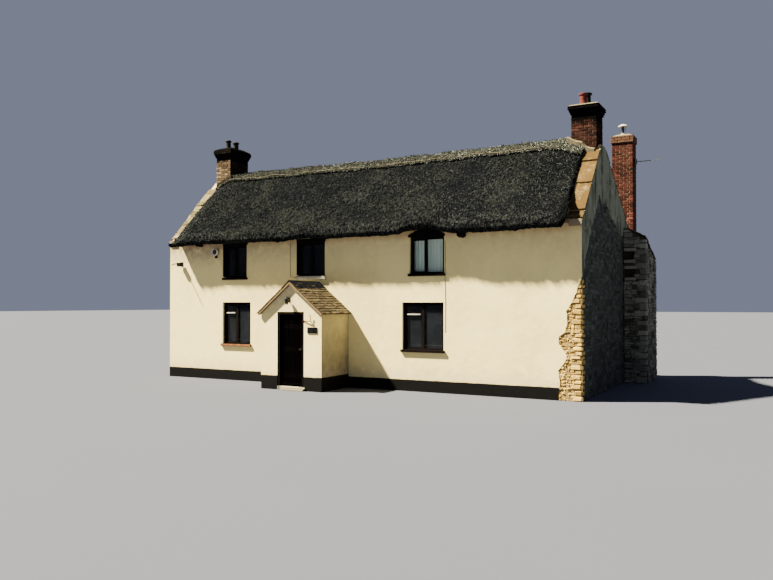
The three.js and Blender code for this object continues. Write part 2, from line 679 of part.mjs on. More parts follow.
function makeWindow(window, y, turn) {
  const group = new THREE.Group();
  group.position.set(window.x, y, window.z);
  group.rotation.z = turn;
  add(`${window.name}_window_frame`, windowFrame(window), DARK_TIMBER, group);
  const a = window.width / 2 - FRAME_BAR - 2 * GAP;
  const y0 = REVEAL + BAR_DEPTH + GAP;
  const glass = box(-a, a, y0, y0 + PANE, FRAME_BAR + GAP, window.height - FRAME_BAR - GAP);
  add(`${window.name}_window_glass`, glass, GLASS, group);
  house.add(group);
}

function makeWindows() {
  FRONT_WINDOWS.forEach((window) => makeWindow(window, FRONT, 0));
  REAR_WINDOWS.forEach((window) => makeWindow(window, REAR, Math.PI));
  const { x, z, width, height } = FRONT_WINDOWS[2];
  const y = FRONT + REVEAL + FRAME_DEPTH + CURTAIN.behind;
  const a = width / 2 - GAP;
  add("upper_right_curtain", box(x - a, x + a, y, y + CURTAIN.depth, z + GAP, z + height - GAP), CLOTH);
}

// Porch

function makePorchWalls() {
  const a = PORCH_WIDTH / 2;
  const reach = FRONT - GAP;
  const behind = PORCH_FRONT + PORCH_WALL + GAP;
  const pitch = (PORCH_APEX_Z - PORCH_EAVES_Z) / a;
  const inner = PORCH_EAVES_Z + pitch * PORCH_WALL;
  const left = PORCH_X - a;
  const right = PORCH_X + a;
  const doorLeft = DOOR_X - DOORWAY / 2;
  const doorRight = DOOR_X + DOORWAY / 2;
  const inside = PORCH_FRONT + PORCH_WALL;
  const lap = (PORCH_DOORWAY_Z - PORCH_EAVES_Z) / pitch + 2;
  const leftFlank = alongY(outline(
    [[left, 0], [left + PORCH_WALL, 0], [left + PORCH_WALL, inner], [left, PORCH_EAVES_Z]]), inside - 1, reach);
  const leftPier = alongY(outline(
    [[left, 0], [doorLeft, 0], [doorLeft, PORCH_DOORWAY_Z], [left + lap, PORCH_DOORWAY_Z],
      [left, PORCH_EAVES_Z]]), PORCH_FRONT, inside);
  add("porch_left_wall", join(leftFlank, leftPier), RENDER_COAT);
  const rightFlank = alongY(outline(
    [[right - PORCH_WALL, 0], [right, 0], [right, PORCH_EAVES_Z], [right - PORCH_WALL, inner]]), inside - 1, reach);
  const rightPier = alongY(outline(
    [[doorRight, 0], [right, 0], [right, PORCH_EAVES_Z], [right - lap, PORCH_DOORWAY_Z],
      [doorRight, PORCH_DOORWAY_Z]]), PORCH_FRONT, inside);
  add("porch_right_wall", join(rightFlank, rightPier), RENDER_COAT);
  const headZ = PORCH_DOORWAY_Z + GAP;
  add("porch_gable_head", alongY(outline(
    [[left + lap + 2, headZ], [right - lap - 2, headZ], [PORCH_X, PORCH_APEX_Z]]), PORCH_FRONT, inside - 2),
  RENDER_COAT);
  const inL = left + PORCH_WALL + GAP;
  const inR = right - PORCH_WALL - GAP;
  const dL = doorLeft + GAP;
  const dR = doorRight - GAP;
  add("porch_floor", alongZ([
    [dL, PORCH_FRONT], [dR, PORCH_FRONT], [dR, behind], [inR, behind], [inR, reach], [dR, reach],
    [dR, INSIDE_FRONT], [dL, INSIDE_FRONT], [dL, reach], [inL, reach], [inL, behind], [dL, behind],
  ], 0, PORCH_FLOOR_Z), FLAGSTONE);
}

// One slope of stepped tile courses, from the eaves up to the ridge, on the side that sign names
function porchSlope(sign) {
  const a = PORCH_WIDTH / 2;
  const pitch = (PORCH_APEX_Z - PORCH_EAVES_Z) / a;
  const length = a + PORCH_ROOF_EAVES;
  const run = (length - GAP) / PORCH_TILE_COURSES;
  const base = (d) => PORCH_APEX_Z - pitch * d + 1;
  const over = [];
  for (let i = 0; i < PORCH_TILE_COURSES; i++) {
    const top = GAP + i * run;
    over.push([top, base(top) + PORCH_TILE_BASE], [top + run, base(top + run) + PORCH_TILE_BASE + PORCH_TILE_STEP]);
  }
  const points = [[GAP, base(GAP)], [length, base(length)], ...over.reverse()]
    .map(([d, z]) => [PORCH_X + sign * d, z]);
  const y0 = PORCH_FRONT - PORCH_ROOF_VERGE;
  return alongY(outline(sign > 0 ? points : points.reverse()), y0, FRONT - GAP);
}

function makePorchRoof() {
  add("porch_roof_left", porchSlope(-1), PORCH_TILE);
  add("porch_roof_right", porchSlope(1), PORCH_TILE);
  const pitch = (PORCH_APEX_Z - PORCH_EAVES_Z) / (PORCH_WIDTH / 2);
  const lay = PORCH_TILE_BASE + PORCH_TILE_STEP + 2;
  const z = (d) => PORCH_APEX_Z - pitch * Math.abs(d) + lay;
  const { leg, thickness } = PORCH_LEAD;
  const lower = [[-leg, z(leg)], [0, z(0)], [leg, z(leg)]];
  const upper = lower.map(([d, h]) => [d, h + thickness]).reverse();
  const shape = [...lower, ...upper].map(([d, h]) => [PORCH_X + d, h]);
  const y0 = PORCH_FRONT - PORCH_ROOF_VERGE;
  add("porch_ridge_lead", alongY(outline(shape), y0, FRONT - GAP), LEAD);
}

// Door: a frame with pins on its inner side, and a boarded leaf that hangs on them by two straps

const HINGE_X = DOOR_X - DOORWAY / 2 + DOOR_FRAME_BAR;
const LEAF_INNER = PORCH_FRONT + DOOR_REVEAL + DOOR_FRAME_DEPTH;
const HINGE_Y = LEAF_INNER + HINGE_OFFSET;

function makeDoor() {
  const a = DOORWAY / 2 - GAP;
  const top = PORCH_DOORWAY_Z - GAP;
  const foot = PORCH_FLOOR_Z + GAP;
  const y0 = PORCH_FRONT + DOOR_REVEAL;
  const lining = outline([
    [DOOR_X - a, foot], [DOOR_X - a + DOOR_FRAME_BAR, foot], [DOOR_X - a + DOOR_FRAME_BAR, top - DOOR_FRAME_BAR],
    [DOOR_X + a - DOOR_FRAME_BAR, top - DOOR_FRAME_BAR], [DOOR_X + a - DOOR_FRAME_BAR, foot],
    [DOOR_X + a, foot], [DOOR_X + a, top], [DOOR_X - a, top],
  ]);
  const stopBar = DOOR_FRAME_BAR + DOOR_STOP;
  const stop = outline([
    [DOOR_X - a, foot], [DOOR_X - a + stopBar, foot], [DOOR_X - a + stopBar, top - stopBar],
    [DOOR_X + a - stopBar, top - stopBar], [DOOR_X + a - stopBar, foot],
    [DOOR_X + a, foot], [DOOR_X + a, top], [DOOR_X - a, top],
  ]);
  const stopDepth = DOOR_FRAME_DEPTH - DOOR_THICKNESS - 5;
  const pins = HINGE_HEIGHTS.flatMap((z) => [
    rod(9, 30).translate(HINGE_X, HINGE_Y, z - 15),
    rod(PIN_RADIUS, EYE_HEIGHT + 24).translate(HINGE_X, HINGE_Y, z + EYE_HEIGHT / 2),
    box(HINGE_X - 42, HINGE_X - 6, HINGE_Y - HINGE_OFFSET - 4, HINGE_Y + 8, z - 30, z),
  ]);
  const frame = join(alongY(lining, y0, LEAF_INNER), alongY(stop, y0, y0 + stopDepth), ...pins);
  add("door_frame", frame, DARK_TIMBER);

  const left = HINGE_X + DOOR_CLEARANCE;
  const right = DOOR_X + a - DOOR_FRAME_BAR - DOOR_LATCH_CLEARANCE;
  const leafTop = top - DOOR_FRAME_BAR - DOOR_CLEARANCE;
  const leafFoot = foot + DOOR_CLEARANCE;
  const outer = LEAF_INNER - DOOR_THICKNESS;
  const board = box(left, right, outer, LEAF_INNER, leafFoot, leafTop);
  const straps = HINGE_HEIGHTS.flatMap((z) => [
    box(HINGE_X + 4, left + DOOR_STRAP, LEAF_INNER - 1, LEAF_INNER + 7, z + GAP, z + EYE_HEIGHT),
    box(HINGE_X + 4, HINGE_X + 14, LEAF_INNER + 2, HINGE_Y + 4, z + GAP, z + EYE_HEIGHT),
    rod(EYE_RADIUS + 1, EYE_HEIGHT - GAP).translate(HINGE_X, HINGE_Y, z + (EYE_HEIGHT + GAP) / 2),
  ]);
  const knob = new THREE.LatheGeometry(
    [[0, 0], [26, 0], [26, 5], [9, 10], [9, 30], [24, 42], [26, 52], [18, 60], [0, 62]]
      .map(([r, z]) => new THREE.Vector2(r, z)), 14)
    .rotateX(Math.PI).translate(right - 75, outer + 1, 1080);
  const weatherBar = box(left + 15, right - 25, outer - 30, outer + 1, leafFoot + 25, leafFoot + 95);
  const bores = HINGE_HEIGHTS.map((z) => rod(PIN_RADIUS + 1, 200).translate(HINGE_X, HINGE_Y, z));
  add("front_door", cut(join(board, ...straps, knob, weatherBar), ...bores), DARK_TIMBER);
}

// Fittings on the walls

function makePorchLamp() {
  const x = -895;
  const y = PORCH_FRONT - GAP;
  const plate = box(-30, 30, -12, 0, -60, 60);
  const arm = box(-9, 9, -120, -5, 22, 40);
  const lantern = new THREE.LatheGeometry(
    [[0, -130], [38, -125], [52, 5], [66, 10], [30, 60], [0, 90]].map(([r, z]) => new THREE.Vector2(r, z)), 6)
    .rotateX(Math.PI / 2).translate(0, -115, 0);
  add("porch_lamp", join(plate, arm, lantern), IRON).position.set(x, y, 2390);
}

function makeArmLight() {
  const route = new THREE.CatmullRomCurve3([
    [0, -4, -15], [0, -160, -10], [0, -320, -25], [0, -450, -70],
  ].map(([x, y, z]) => new THREE.Vector3(x, y, z)));
  const circle = new THREE.Shape().absarc(0, 0, 14, 0, Math.PI * 2);
  const arm = new THREE.ExtrudeGeometry(circle, { steps: 8, curveSegments: 4, extrudePath: route });
  const plate = box(-45, 45, -14, 0, -70, 50);
  const head = box(-60, 60, -170, -50, -95, 25);
  add("wall_arm_light", join(plate, arm, head), IRON).position.set(-6000, FRONT - GAP, 3540);
}

function makeFloodLamp() {
  const housing = new THREE.CylinderGeometry(105, 90, 75, 16).rotateZ(Math.PI).scale(1, 1, 1.25);
  const neck = box(-25, 25, -60, 0, -40, 40);
  const sensor = box(-35, 35, -70, -20, -185, -110);
  const lens = housing.translate(0, -85, 0);
  add("flood_lamp", join(lens, neck, sensor), WHITE_METAL).position.set(-4570, FRONT - GAP, 3850);
}

function makeAerial() {
  const x = REAR_CHIMNEY.x + REAR_CHIMNEY.width / 2 + GAP;
  const bracket = box(0, 60, -60, 60, 0, 30);
  const mast = rod(12, 300, 8).translate(50, 0, 130);
  const boom = box(20, 780, -8, 8, 225, 243);
  const rungs = [180, 320, 460, 600, 740].map((at, i) =>
    box(at, at + 8, -150 + i * 14, 150 - i * 14, 228, 240));
  const reflector = box(60, 68, -160, 160, 160, 320);
  const made = add("tv_aerial", join(bracket, mast, boom, reflector, ...rungs), ALUMINIUM);
  made.position.set(x, REAR_CHIMNEY.y - 60, 6450);
}

makeFloors();
makeFrontWall();
makeRearWall();
makeGables();
makeThatch();
makeVerges();
makeChimneys();
makeBreast();
makeWindows();
makePorchWalls();
makePorchRoof();
makeDoor();
makePorchLamp();
makeArmLight();
makeFloodLamp();
makeAerial();

export default house;
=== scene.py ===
"""Dresses the solids of a thatched cottage: straw thatch, broken render over rubble, brick stacks,
stone slates, joinery, a boarded door, a curtain and the fittings on its walls.
Metres, in the solids' own frame: +X along the front to the right-hand gable, +Y into the house."""
import json
import math

import bpy
import numpy as np
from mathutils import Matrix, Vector
from mathutils.bvhtree import BVHTree


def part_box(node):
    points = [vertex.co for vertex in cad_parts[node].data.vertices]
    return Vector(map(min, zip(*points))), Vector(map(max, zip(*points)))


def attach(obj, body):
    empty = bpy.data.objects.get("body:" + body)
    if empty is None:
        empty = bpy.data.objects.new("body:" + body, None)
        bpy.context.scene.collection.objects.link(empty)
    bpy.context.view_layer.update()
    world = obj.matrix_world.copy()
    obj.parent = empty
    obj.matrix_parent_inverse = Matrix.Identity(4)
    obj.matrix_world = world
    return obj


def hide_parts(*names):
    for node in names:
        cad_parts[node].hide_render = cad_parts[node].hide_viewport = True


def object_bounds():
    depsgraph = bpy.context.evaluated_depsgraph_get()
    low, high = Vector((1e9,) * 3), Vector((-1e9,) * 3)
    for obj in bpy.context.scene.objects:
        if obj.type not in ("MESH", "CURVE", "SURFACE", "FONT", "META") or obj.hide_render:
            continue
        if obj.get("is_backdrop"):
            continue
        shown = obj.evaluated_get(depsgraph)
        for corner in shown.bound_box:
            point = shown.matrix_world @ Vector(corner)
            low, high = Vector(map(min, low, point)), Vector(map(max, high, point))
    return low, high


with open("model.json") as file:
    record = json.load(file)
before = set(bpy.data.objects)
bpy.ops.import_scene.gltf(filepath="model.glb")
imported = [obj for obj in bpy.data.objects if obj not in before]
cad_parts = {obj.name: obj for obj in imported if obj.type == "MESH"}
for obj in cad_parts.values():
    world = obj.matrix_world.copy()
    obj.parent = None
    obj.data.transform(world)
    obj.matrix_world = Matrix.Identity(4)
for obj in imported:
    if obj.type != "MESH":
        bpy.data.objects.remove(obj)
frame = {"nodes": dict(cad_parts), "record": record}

bl_info = {
    "name": "Thatched cottage",
    "version": (1, 0, 0),
    "blender": (4, 5, 0),
    "location": "3D View > Sidebar > Cottage",
    "description": "Dresses the solids of a thatched cottage with its visible materials and small pieces",
    "category": "Object",
}

NODES = frame["nodes"]
SOLIDS = [tuple(corner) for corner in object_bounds()]
HINGE = Vector(frame["record"]["behaviour"]["joints"][0]["pos_m"])
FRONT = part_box("front_wall_left")[0].y
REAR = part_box("rear_wall")[1].y
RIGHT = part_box("right_gable_wall")[1].x
GABLE_THICKNESS = 0.6
GABLE_INNER = RIGHT - GABLE_THICKNESS
PORCH_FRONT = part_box("porch_left_wall")[0].y
THATCH_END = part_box("thatch_front")[1].x
RIDGE_Y = FRONT + 2.235
SILL_HORN = 0.035
WINDOW_REVEAL = 0.065
WINDOWS = ("upper_left", "upper_middle", "upper_right", "lower_left", "lower_right", "rear_upper",
           "rear_lower")
UP = Vector((0, 0, 1))
AHEAD = Vector((0, -1, 0))


# Settings that a user would change

def size(name, default, description):
    return bpy.props.FloatProperty(name=name, description=description, default=default, unit="LENGTH")


def colour(name, default, description):
    return bpy.props.FloatVectorProperty(
        name=name, description=description, default=default, subtype="COLOR", min=0.0, max=1.0
    )


def amount(name, default, description):
    return bpy.props.IntProperty(name=name, description=description, default=default, min=0)


def strength(name, default, description):
    return bpy.props.FloatProperty(name=name, description=description, default=default, min=0.0)


class CottageWalls(bpy.types.PropertyGroup):
    """Colours and sizes of the render and the rubble."""

    render: colour("Render", (0.89, 0.755, 0.340), "Lime render on the front, the rear and the porch")
    gable: colour("Gable render", (0.176, 0.198, 0.148), "Weathered render on the gables")
    stain: colour("Stain", (0.40, 0.325, 0.27), "Brown stain under the eaves and round the openings")
    plinth: colour("Plinth", (0.0035, 0.0035, 0.0042), "Black paint at the foot of the walls")
    wall_plinth: size("Plinth height", 0.30, "Height of the black paint on the main walls")
    porch_plinth: size("Porch plinth height", 0.37, "Height of the black paint on the porch")
    dark_stone: colour("Gable rubble", (0.060, 0.070, 0.064), "Rubble of the gable and the breast")
    pale_stone: colour("Corner rubble", (0.46, 0.31, 0.088), "Rubble at the broken front corner")
    mortar: colour("Mortar", (0.075, 0.068, 0.052), "Mortar between the rubble")
    coat: size("Coat thickness", 0.030, "Thickness of the render where it is broken off")
    joint: size("Stone joint", 0.012, "Joint between two stones")


class CottageThatch(bpy.types.PropertyGroup):
    """Colours, sizes and numbers of the straw."""

    dark: colour("Dark straw", (0.0026, 0.0030, 0.0040), "The weathered coat between the straw ends")
    light: colour("Light straw", (0.044, 0.0485, 0.052), "The straw ends that catch the light")
    moss: colour("Moss", (0.017, 0.0195, 0.0185), "Moss in the weathered coat")
    ridge_dark: colour("Dark ridge straw", (0.018, 0.019, 0.016), "The shaded straw of the ridge")
    ridge_light: colour("Light ridge straw", (0.196, 0.211, 0.200), "The newer straw of the ridge")
    straw_length: size("Straw length", 0.105, "Mean length of a tuft of straw that shows")
    straw_width: size("Straw width", 0.015, "Mean width of a tuft of straw")
    sink: size("Sink", 0.022, "How far the coat lies under the tips of the straw")
    front_straws: amount("Front straws", 48000, "Straw tufts on the front slope")
    rear_straws: amount("Rear straws", 48000, "Straw tufts on the rear slope")
    ridge_straws: amount("Ridge straws", 24000, "Straw tufts on the ridge")


class CottageRoofStone(bpy.types.PropertyGroup):
    """Colours and sizes of the stone slates."""

    verge: colour("Verge slates", (0.056, 0.034, 0.0120), "Golden stone slates on the verges")
    lichen: colour("Lichen", (0.160, 0.124, 0.064), "Pale lichen on the slates")
    porch: colour("Porch slates", (0.060, 0.047, 0.029), "Tan stone slates on the porch")
    porch_courses: amount("Porch courses", 13, "Courses of slates on each side of the porch")
    porch_slate: size("Porch slate width", 0.19, "Mean width of a porch slate")


class CottageChimneys(bpy.types.PropertyGroup):
    """Colours and sizes of the brickwork."""

    red: colour("Red brick", (0.031, 0.0130, 0.0110), "Bricks of the right-hand and rear stacks")
    buff: colour("Buff brick", (0.125, 0.088, 0.056), "Weathered bricks of the left-hand stack")
    dark: colour("Dark brick", (0.014, 0.008, 0.007), "The darkest bricks")
    soot: colour("Soot", (0.0012, 0.0012, 0.0017), "Soot on the corbels")
    mortar: colour("Brick mortar", (0.080, 0.062, 0.050), "Mortar between the bricks")
    course: size("Course", 0.075, "Height of a brick and its joint")
    stretcher: size("Stretcher", 0.225, "Length of a brick and its joint")
    header: size("Header", 0.1125, "Width of a brick and its joint")
    joint: size("Brick joint", 0.010, "Joint between two bricks")


class CottageJoinery(bpy.types.PropertyGroup):
    """Colours of the timber, the door and the curtain."""

    timber: colour("Dark timber", (0.0031, 0.0019, 0.0020), "Stained frames and door")
    # The sill colour is painted sunlight on the front of the sill
    sill: colour("Sunlit sill", (0.19, 0.075, 0.034), "Worn sill of the lower left window")
    curtain: colour("Curtain", (0.76, 1.0, 0.86), "Pale cloth behind the upper right window")
    pleat: size("Pleat", 0.085, "Width of one pleat of the curtain")


class CottageStage(bpy.types.PropertyGroup):
    """The camera, the floor and the light."""

    lens: bpy.props.FloatProperty(name="Lens", description="Focal length", default=34.46, unit="CAMERA")
    floor: colour("Floor", (0.066, 0.072, 0.100), "Colour of the plain floor")
    sky: colour("Sky", (0.66, 0.73, 1.0), "Colour of the light from all round")
    sun: colour("Sun", (1.0, 0.89, 0.61), "Colour of the light from the left")
    sky_strength: strength("Sky strength", 0.29, "Light from all round")
    sun_strength: strength("Sun strength", 42.0, "Light from the left")


SETTINGS = {
    "walls": CottageWalls,
    "thatch": CottageThatch,
    "roof_stone": CottageRoofStone,
    "chimneys": CottageChimneys,
    "joinery": CottageJoinery,
    "stage": CottageStage,
}


def settings(name):
    return getattr(bpy.context.scene, f"cottage_{name}")


# Materials

class Value:
    """A value in a material: arithmetic on it adds Math nodes."""

    def __init__(self, finish, socket):
        self.finish = finish
        self.socket = socket

    def math(self, operation, first, second):
        return self.finish.node("ShaderNodeMath", {"operation": operation}, {0: first, 1: second})

    def __add__(self, other):
        return self.math("ADD", self, other)

    __radd__ = __add__

    def __sub__(self, other):
        return self.math("SUBTRACT", self, other)

    def __rsub__(self, other):
        return self.math("SUBTRACT", other, self)

    def __mul__(self, other):
        return self.math("MULTIPLY", self, other)

    __rmul__ = __mul__


class Finish:
    """One procedural material, on Object coordinates.

    node() adds any node, with its settings first and then the values or links of its sockets.
    """

    def __init__(self, name, specular=0.25):
        self.material = bpy.data.materials.new(name)
        self.material.use_nodes = True
        self.tree = self.material.node_tree
        self.shader = self.tree.nodes["Principled BSDF"]
        self.shader.inputs["Specular IOR Level"].default_value = specular
        self.place = self.node("ShaderNodeTexCoord", output="Object")

    def node(self, kind, options=None, sockets=None, output=0):
        made = self.tree.nodes.new(kind)
        for key, value in (options or {}).items():
            if key == "stops":
                self.set_stops(made.color_ramp, value)
            else:
                setattr(made, key, value)
        for key, value in (sockets or {}).items():
            self.feed(made.inputs[key], value)
        return Value(self, made.outputs[output])

    def set_stops(self, ramp, stops):
        while len(ramp.elements) < len(stops):
            ramp.elements.new(0.5)
        for element, (position, tint) in zip(ramp.elements, stops):
            element.position = position
            element.color = (*tint, 1.0)

    def feed(self, socket, value):
        if isinstance(value, Value):
            self.tree.links.new(value.socket, socket)
        elif socket.type == "RGBA":
            socket.default_value = (*value[:3], 1.0)
        else:
            socket.default_value = value

    def coordinate(self, axis):
        return self.node("ShaderNodeSeparateXYZ", None, {0: self.place}, axis)

    def noise(self, scale, detail=3.0, roughness=0.55, stretch=None):
        spot = self.place
        if stretch:
            spot = self.node("ShaderNodeVectorMath", {"operation": "MULTIPLY"}, {0: spot, 1: stretch})
        sockets = {"Vector": spot, "Scale": scale, "Detail": detail, "Roughness": roughness}
        return self.node("ShaderNodeTexNoise", None, sockets)

    def attribute(self, name):
        return self.node("ShaderNodeAttribute", {"attribute_name": name}, None, "Fac")

    def between(self, value, low, high):
        """0 below low, 1 above high, and smooth in between; low may be the higher one."""
        options = {"interpolation_type": "SMOOTHSTEP"}
        if low > high:
            return 1.0 - self.node("ShaderNodeMapRange", options, {0: value, 1: high, 2: low})
        return self.node("ShaderNodeMapRange", options, {0: value, 1: low, 2: high})

    def mix(self, first, second, factor):
        return self.node("ShaderNodeMix", {"data_type": "RGBA"}, {0: factor, 6: first, 7: second}, 2)

    def fade(self, first, second, value, low, high, strength=1.0):
        """From one tint towards another as a value goes from low to high, in full or in part."""
        factor = self.between(value, low, high)
        return self.mix(first, second, factor if strength == 1.0 else factor * strength)

    def ramp(self, value, *stops):
        return self.node("ShaderNodeValToRGB", {"stops": stops}, {0: value})

    def done(self, tint, roughness, height=None, reach=0.01, strength=1.0):
        self.feed(self.shader.inputs["Base Color"], tint)
        self.feed(self.shader.inputs["Roughness"], roughness)
        if height is not None:
            sockets = {"Height": height, "Distance": reach, "Strength": strength}
            self.feed(self.shader.inputs["Normal"], self.node("ShaderNodeBump", None, sockets))
        return self.material


def shade(tint, factor):
    """A colour made lighter or darker."""
    return tuple(min(1.0, part * factor) for part in tint[:3])


# Tints of the painted shade on the porch's sides, of the stain under the eaves, of the kneeler and of mended
# render; and two heights
SIDE_SHADE_RENDER = (0.150, 0.138, 0.106)
EAVES_STAIN = (0.40, 0.22, 0.11)
KNEELER_STONE = (0.20, 0.165, 0.11)
MENDED_RENDER = (0.34, 0.34, 0.26)
EAVES_Z = 4.28
KNEELER_Z = 4.08


def render_finish(name, plinth_height, stain_foot, stain_top, on_porch=False):
    """Lime render: stained under the roof, splashed near the ground, with a black painted foot."""
    walls = settings("walls")
    coat = Finish(name, 0.05)
    x, y, z = (coat.coordinate(axis) for axis in range(3))
    broad = coat.noise(0.55, 4.0, 0.6)
    mottle = coat.noise(5.0, 5.0, 0.65)
    runs = coat.noise(1.3, 4.0, 0.6, (2.4, 2.4, 0.55))
    tint = coat.fade(walls.render, shade(walls.render, 0.88), broad, 0.38, 0.66)
    tint = coat.fade(tint, shade(walls.render, 1.08), mottle, 0.52, 0.75, 0.6)
    if on_porch:
        # Painted shade on the porch's sides that face along the house, darker towards the foot
        side_shade = coat.between(z + broad * 0.8, 2.4, 0.5) * 0.35 + coat.between(mottle, 0.3, 0.7) * 0.15 + 0.5
        tint = coat.mix(tint, SIDE_SHADE_RENDER, facing_ends(coat) * side_shade)
    under_roof = coat.between(z + runs * 0.5, stain_foot, stain_top) * coat.between(mottle, 0.25, 0.6)
    tint = coat.mix(tint, walls.stain, under_roof * 0.42)
    # Under the roof, darker still towards the left end
    tint = coat.mix(tint, shade(walls.stain, 0.55), under_roof * coat.between(x, 0.5, -5.5) * 0.8)
    if not on_porch:
        tint = coat.fade(tint, EAVES_STAIN, z + runs * 0.3, EAVES_Z - 0.23, EAVES_Z, 0.55)
    tint = coat.fade(tint, walls.stain, runs, 0.60, 0.80, 0.22)
    outer_face = coat.between(x * x, (RIGHT - 0.0154) ** 2, (RIGHT - 0.0008) ** 2)
    tint = coat.mix(tint, weathered_gable(coat, runs, mottle), outer_face)
    kneeler = coat.between(y, FRONT - 0.002, FRONT - 0.010) * coat.between(z, KNEELER_Z, KNEELER_Z + 0.02)
    tint = coat.mix(tint, KNEELER_STONE, kneeler)
    splash = coat.between(z + mottle * 0.5, 1.05, 0.45)
    tint = coat.mix(tint, shade(walls.stain, 0.9), splash * 0.45)
    foot = coat.between(z + mottle * 0.03, plinth_height + 0.025, plinth_height + 0.010)
    tint = coat.mix(tint, walls.plinth, foot)
    grain = coat.noise(55.0, 3.0, 0.7)
    height = broad * 1.0 + mottle * 0.35 + grain * 0.10
    return coat.done(tint, 0.93 - foot * 0.35, height, 0.03, 0.6)


def weathered_gable(coat, runs, mottle):
    """Grey-green render, streaked and blotched with algae, with paler patches where it was mended."""
    walls = settings("walls")
    blotch = coat.noise(1.1, 5.0, 0.7)
    tint = coat.fade(walls.gable, shade(walls.gable, 0.26), runs, 0.47, 0.62, 0.9)
    tint = coat.fade(tint, shade(walls.gable, 0.30), blotch, 0.52, 0.66, 0.8)
    return coat.fade(tint, MENDED_RENDER, mottle + blotch * 0.4, 0.70, 0.92, 0.6)


def stone_finish(name, tint, spread=0.55, lichen=None):
    """Rough stone whose pieces differ in tone by the spread, with patches of lichen."""
    stone = Finish(name, 0.03)
    tone = stone.attribute("tone")
    patch = stone.noise(3.0, 4.0, 0.6)
    fleck = stone.noise(26.0, 4.0, 0.7)
    made = stone.mix(shade(tint, 1 - spread), shade(tint, 1 + spread), tone)
    made = stone.fade(made, shade(tint, 0.45), fleck, 0.52, 0.72, 0.6)
    if lichen:
        made = stone.fade(made, lichen, patch * 0.7 + fleck * 0.6, 0.68, 0.80, 0.8)
    return stone.done(made, 0.9, fleck + patch * 0.5, 0.012, 0.8)


def mortar_finish(name, tint):
    """Sandy mortar with darker patches."""
    mortar = Finish(name, 0.01)
    fine = mortar.noise(38.0, 4.0, 0.7)
    broad = mortar.noise(3.0, 3.0)
    made = mortar.fade(shade(tint, 0.6), shade(tint, 1.15), fine, 0.35, 0.65)
    made = mortar.fade(made, shade(tint, 0.5), broad, 0.5, 0.7, 0.5)
    return mortar.done(made, 0.95, fine, 0.008, 0.8)


def brick_finish(name, tint, crown, crown_from, crown_to, shaded_sides=0.0):
    """Bricks whose pieces differ in tone, with the crown's tone at the top, and as painted shade on the sides
    that face along the house.
    """
    colours = settings("chimneys")
    brick = Finish(name, 0.01)
    tone = brick.attribute("tone")
    fleck = brick.noise(30.0, 4.0, 0.7)
    patch = brick.noise(4.0, 3.0)
    stops = (0.0, colours.dark), (0.35, shade(tint, 0.6)), (0.7, tint), (1.0, shade(tint, 2.2))
    made = brick.ramp(tone, *stops)
    made = brick.fade(made, colours.mortar, fleck, 0.58, 0.74, 0.55)
    made = brick.fade(made, shade(tint, 0.35), patch, 0.52, 0.68, 0.6)
    high = brick.between(brick.coordinate(2) + patch * 0.12, crown_from, crown_to)
    made = brick.mix(made, crown, high * 0.96)
    # Painted shade, in the crown's tone, on the sides that face along the house
    made = brick.mix(made, crown, facing_ends(brick) * shaded_sides)
    return brick.done(made, 0.88, fleck + patch, 0.006, 0.8)


def thatch_finish(name, dark, light, moss, weathered=0.0):
    """Straw from dark hollows to pale ends, with painted shade on its end faces and right rim, a painted
    highlight at the eaves, and weathered towards the left.
    """
    straw = Finish(name, 0.0)
    x, z = straw.coordinate(0), straw.coordinate(2)
    # The clumps' tones are partly the straw's own and partly painted light and shade of its lumps
    clump = straw.between(straw.noise(17.0, 3.0, 0.65, (1.3, 0.65, 0.65)), 0.40, 0.60)
    fine = straw.noise(80.0, 3.0, 0.7)
    broad = straw.noise(0.8, 3.0)
    wave = straw.noise(1.6, 4.0, 0.6, (0.45, 1.0, 1.0))
    # Painted highlight: the straw is paler down at the eaves, where the lip faces into shade
    lip = straw.between(z, EAVES_Z + 0.32, EAVES_Z + 0.02)
    west = straw.between(x, 0.0, -5.0)
    level = straw.attribute("tone") * 0.84 + clump * 0.32 + fine * 0.24
    level = level + (wave - 0.5) * 0.30 + lip * 0.10 + west * 0.05 - 0.245
    stops = (0.12, shade(dark, 1.2)), (0.38, shade(light, 0.42)), (0.62, light), (0.95, shade(light, 2.1))
    made = straw.fade(straw.ramp(level, *stops), moss, broad + clump * 0.2, 0.58, 0.74, 0.45)
    # Painted shade on both end faces of the thatch
    end_faces = straw.between(x * x, THATCH_END ** 2 - 0.50, THATCH_END ** 2 - 0.10) * facing_ends(straw)
    made = straw.mix(made, shade(dark, 0.6), end_faces)
    # Painted shade in a strip along the right end, below the ridge
    rim = straw.between(x, THATCH_END - 0.28, THATCH_END - 0.14) * straw.between(z, 6.30, 6.10)
    made = straw.mix(made, shade(dark, 0.6), rim * 0.85)
    if weathered:
        made = straw.mix(made, dark, west * weathered)
    return straw.done(made, 0.95, fine + clump, 0.012, 0.7)


def facing_ends(finish):
    """1 where a surface faces along the house, 0 where it faces the front, the rear or the sky."""
    normal = finish.node("ShaderNodeTexCoord", output="Normal")
    across = finish.node("ShaderNodeSeparateXYZ", None, {0: normal}, 0)
    return finish.between(across * across, 0.35, 0.6)


def timber_finish(name, tint, roughness=0.5, specular=0.04):
    """Upright grain, paler where it is worn."""
    wood = Finish(name, specular)
    grain = wood.noise(22.0, 4.0, 0.6, (1.0, 1.0, 0.07))
    wear = wood.noise(9.0, 4.0, 0.7)
    made = wood.fade(shade(tint, 0.6), shade(tint, 1.7), grain, 0.35, 0.7)
    made = wood.fade(made, shade(tint, 3.0), wear, 0.62, 0.8, 0.35)
    return wood.done(made, roughness + wear * 0.25, grain, 0.003, 0.6)


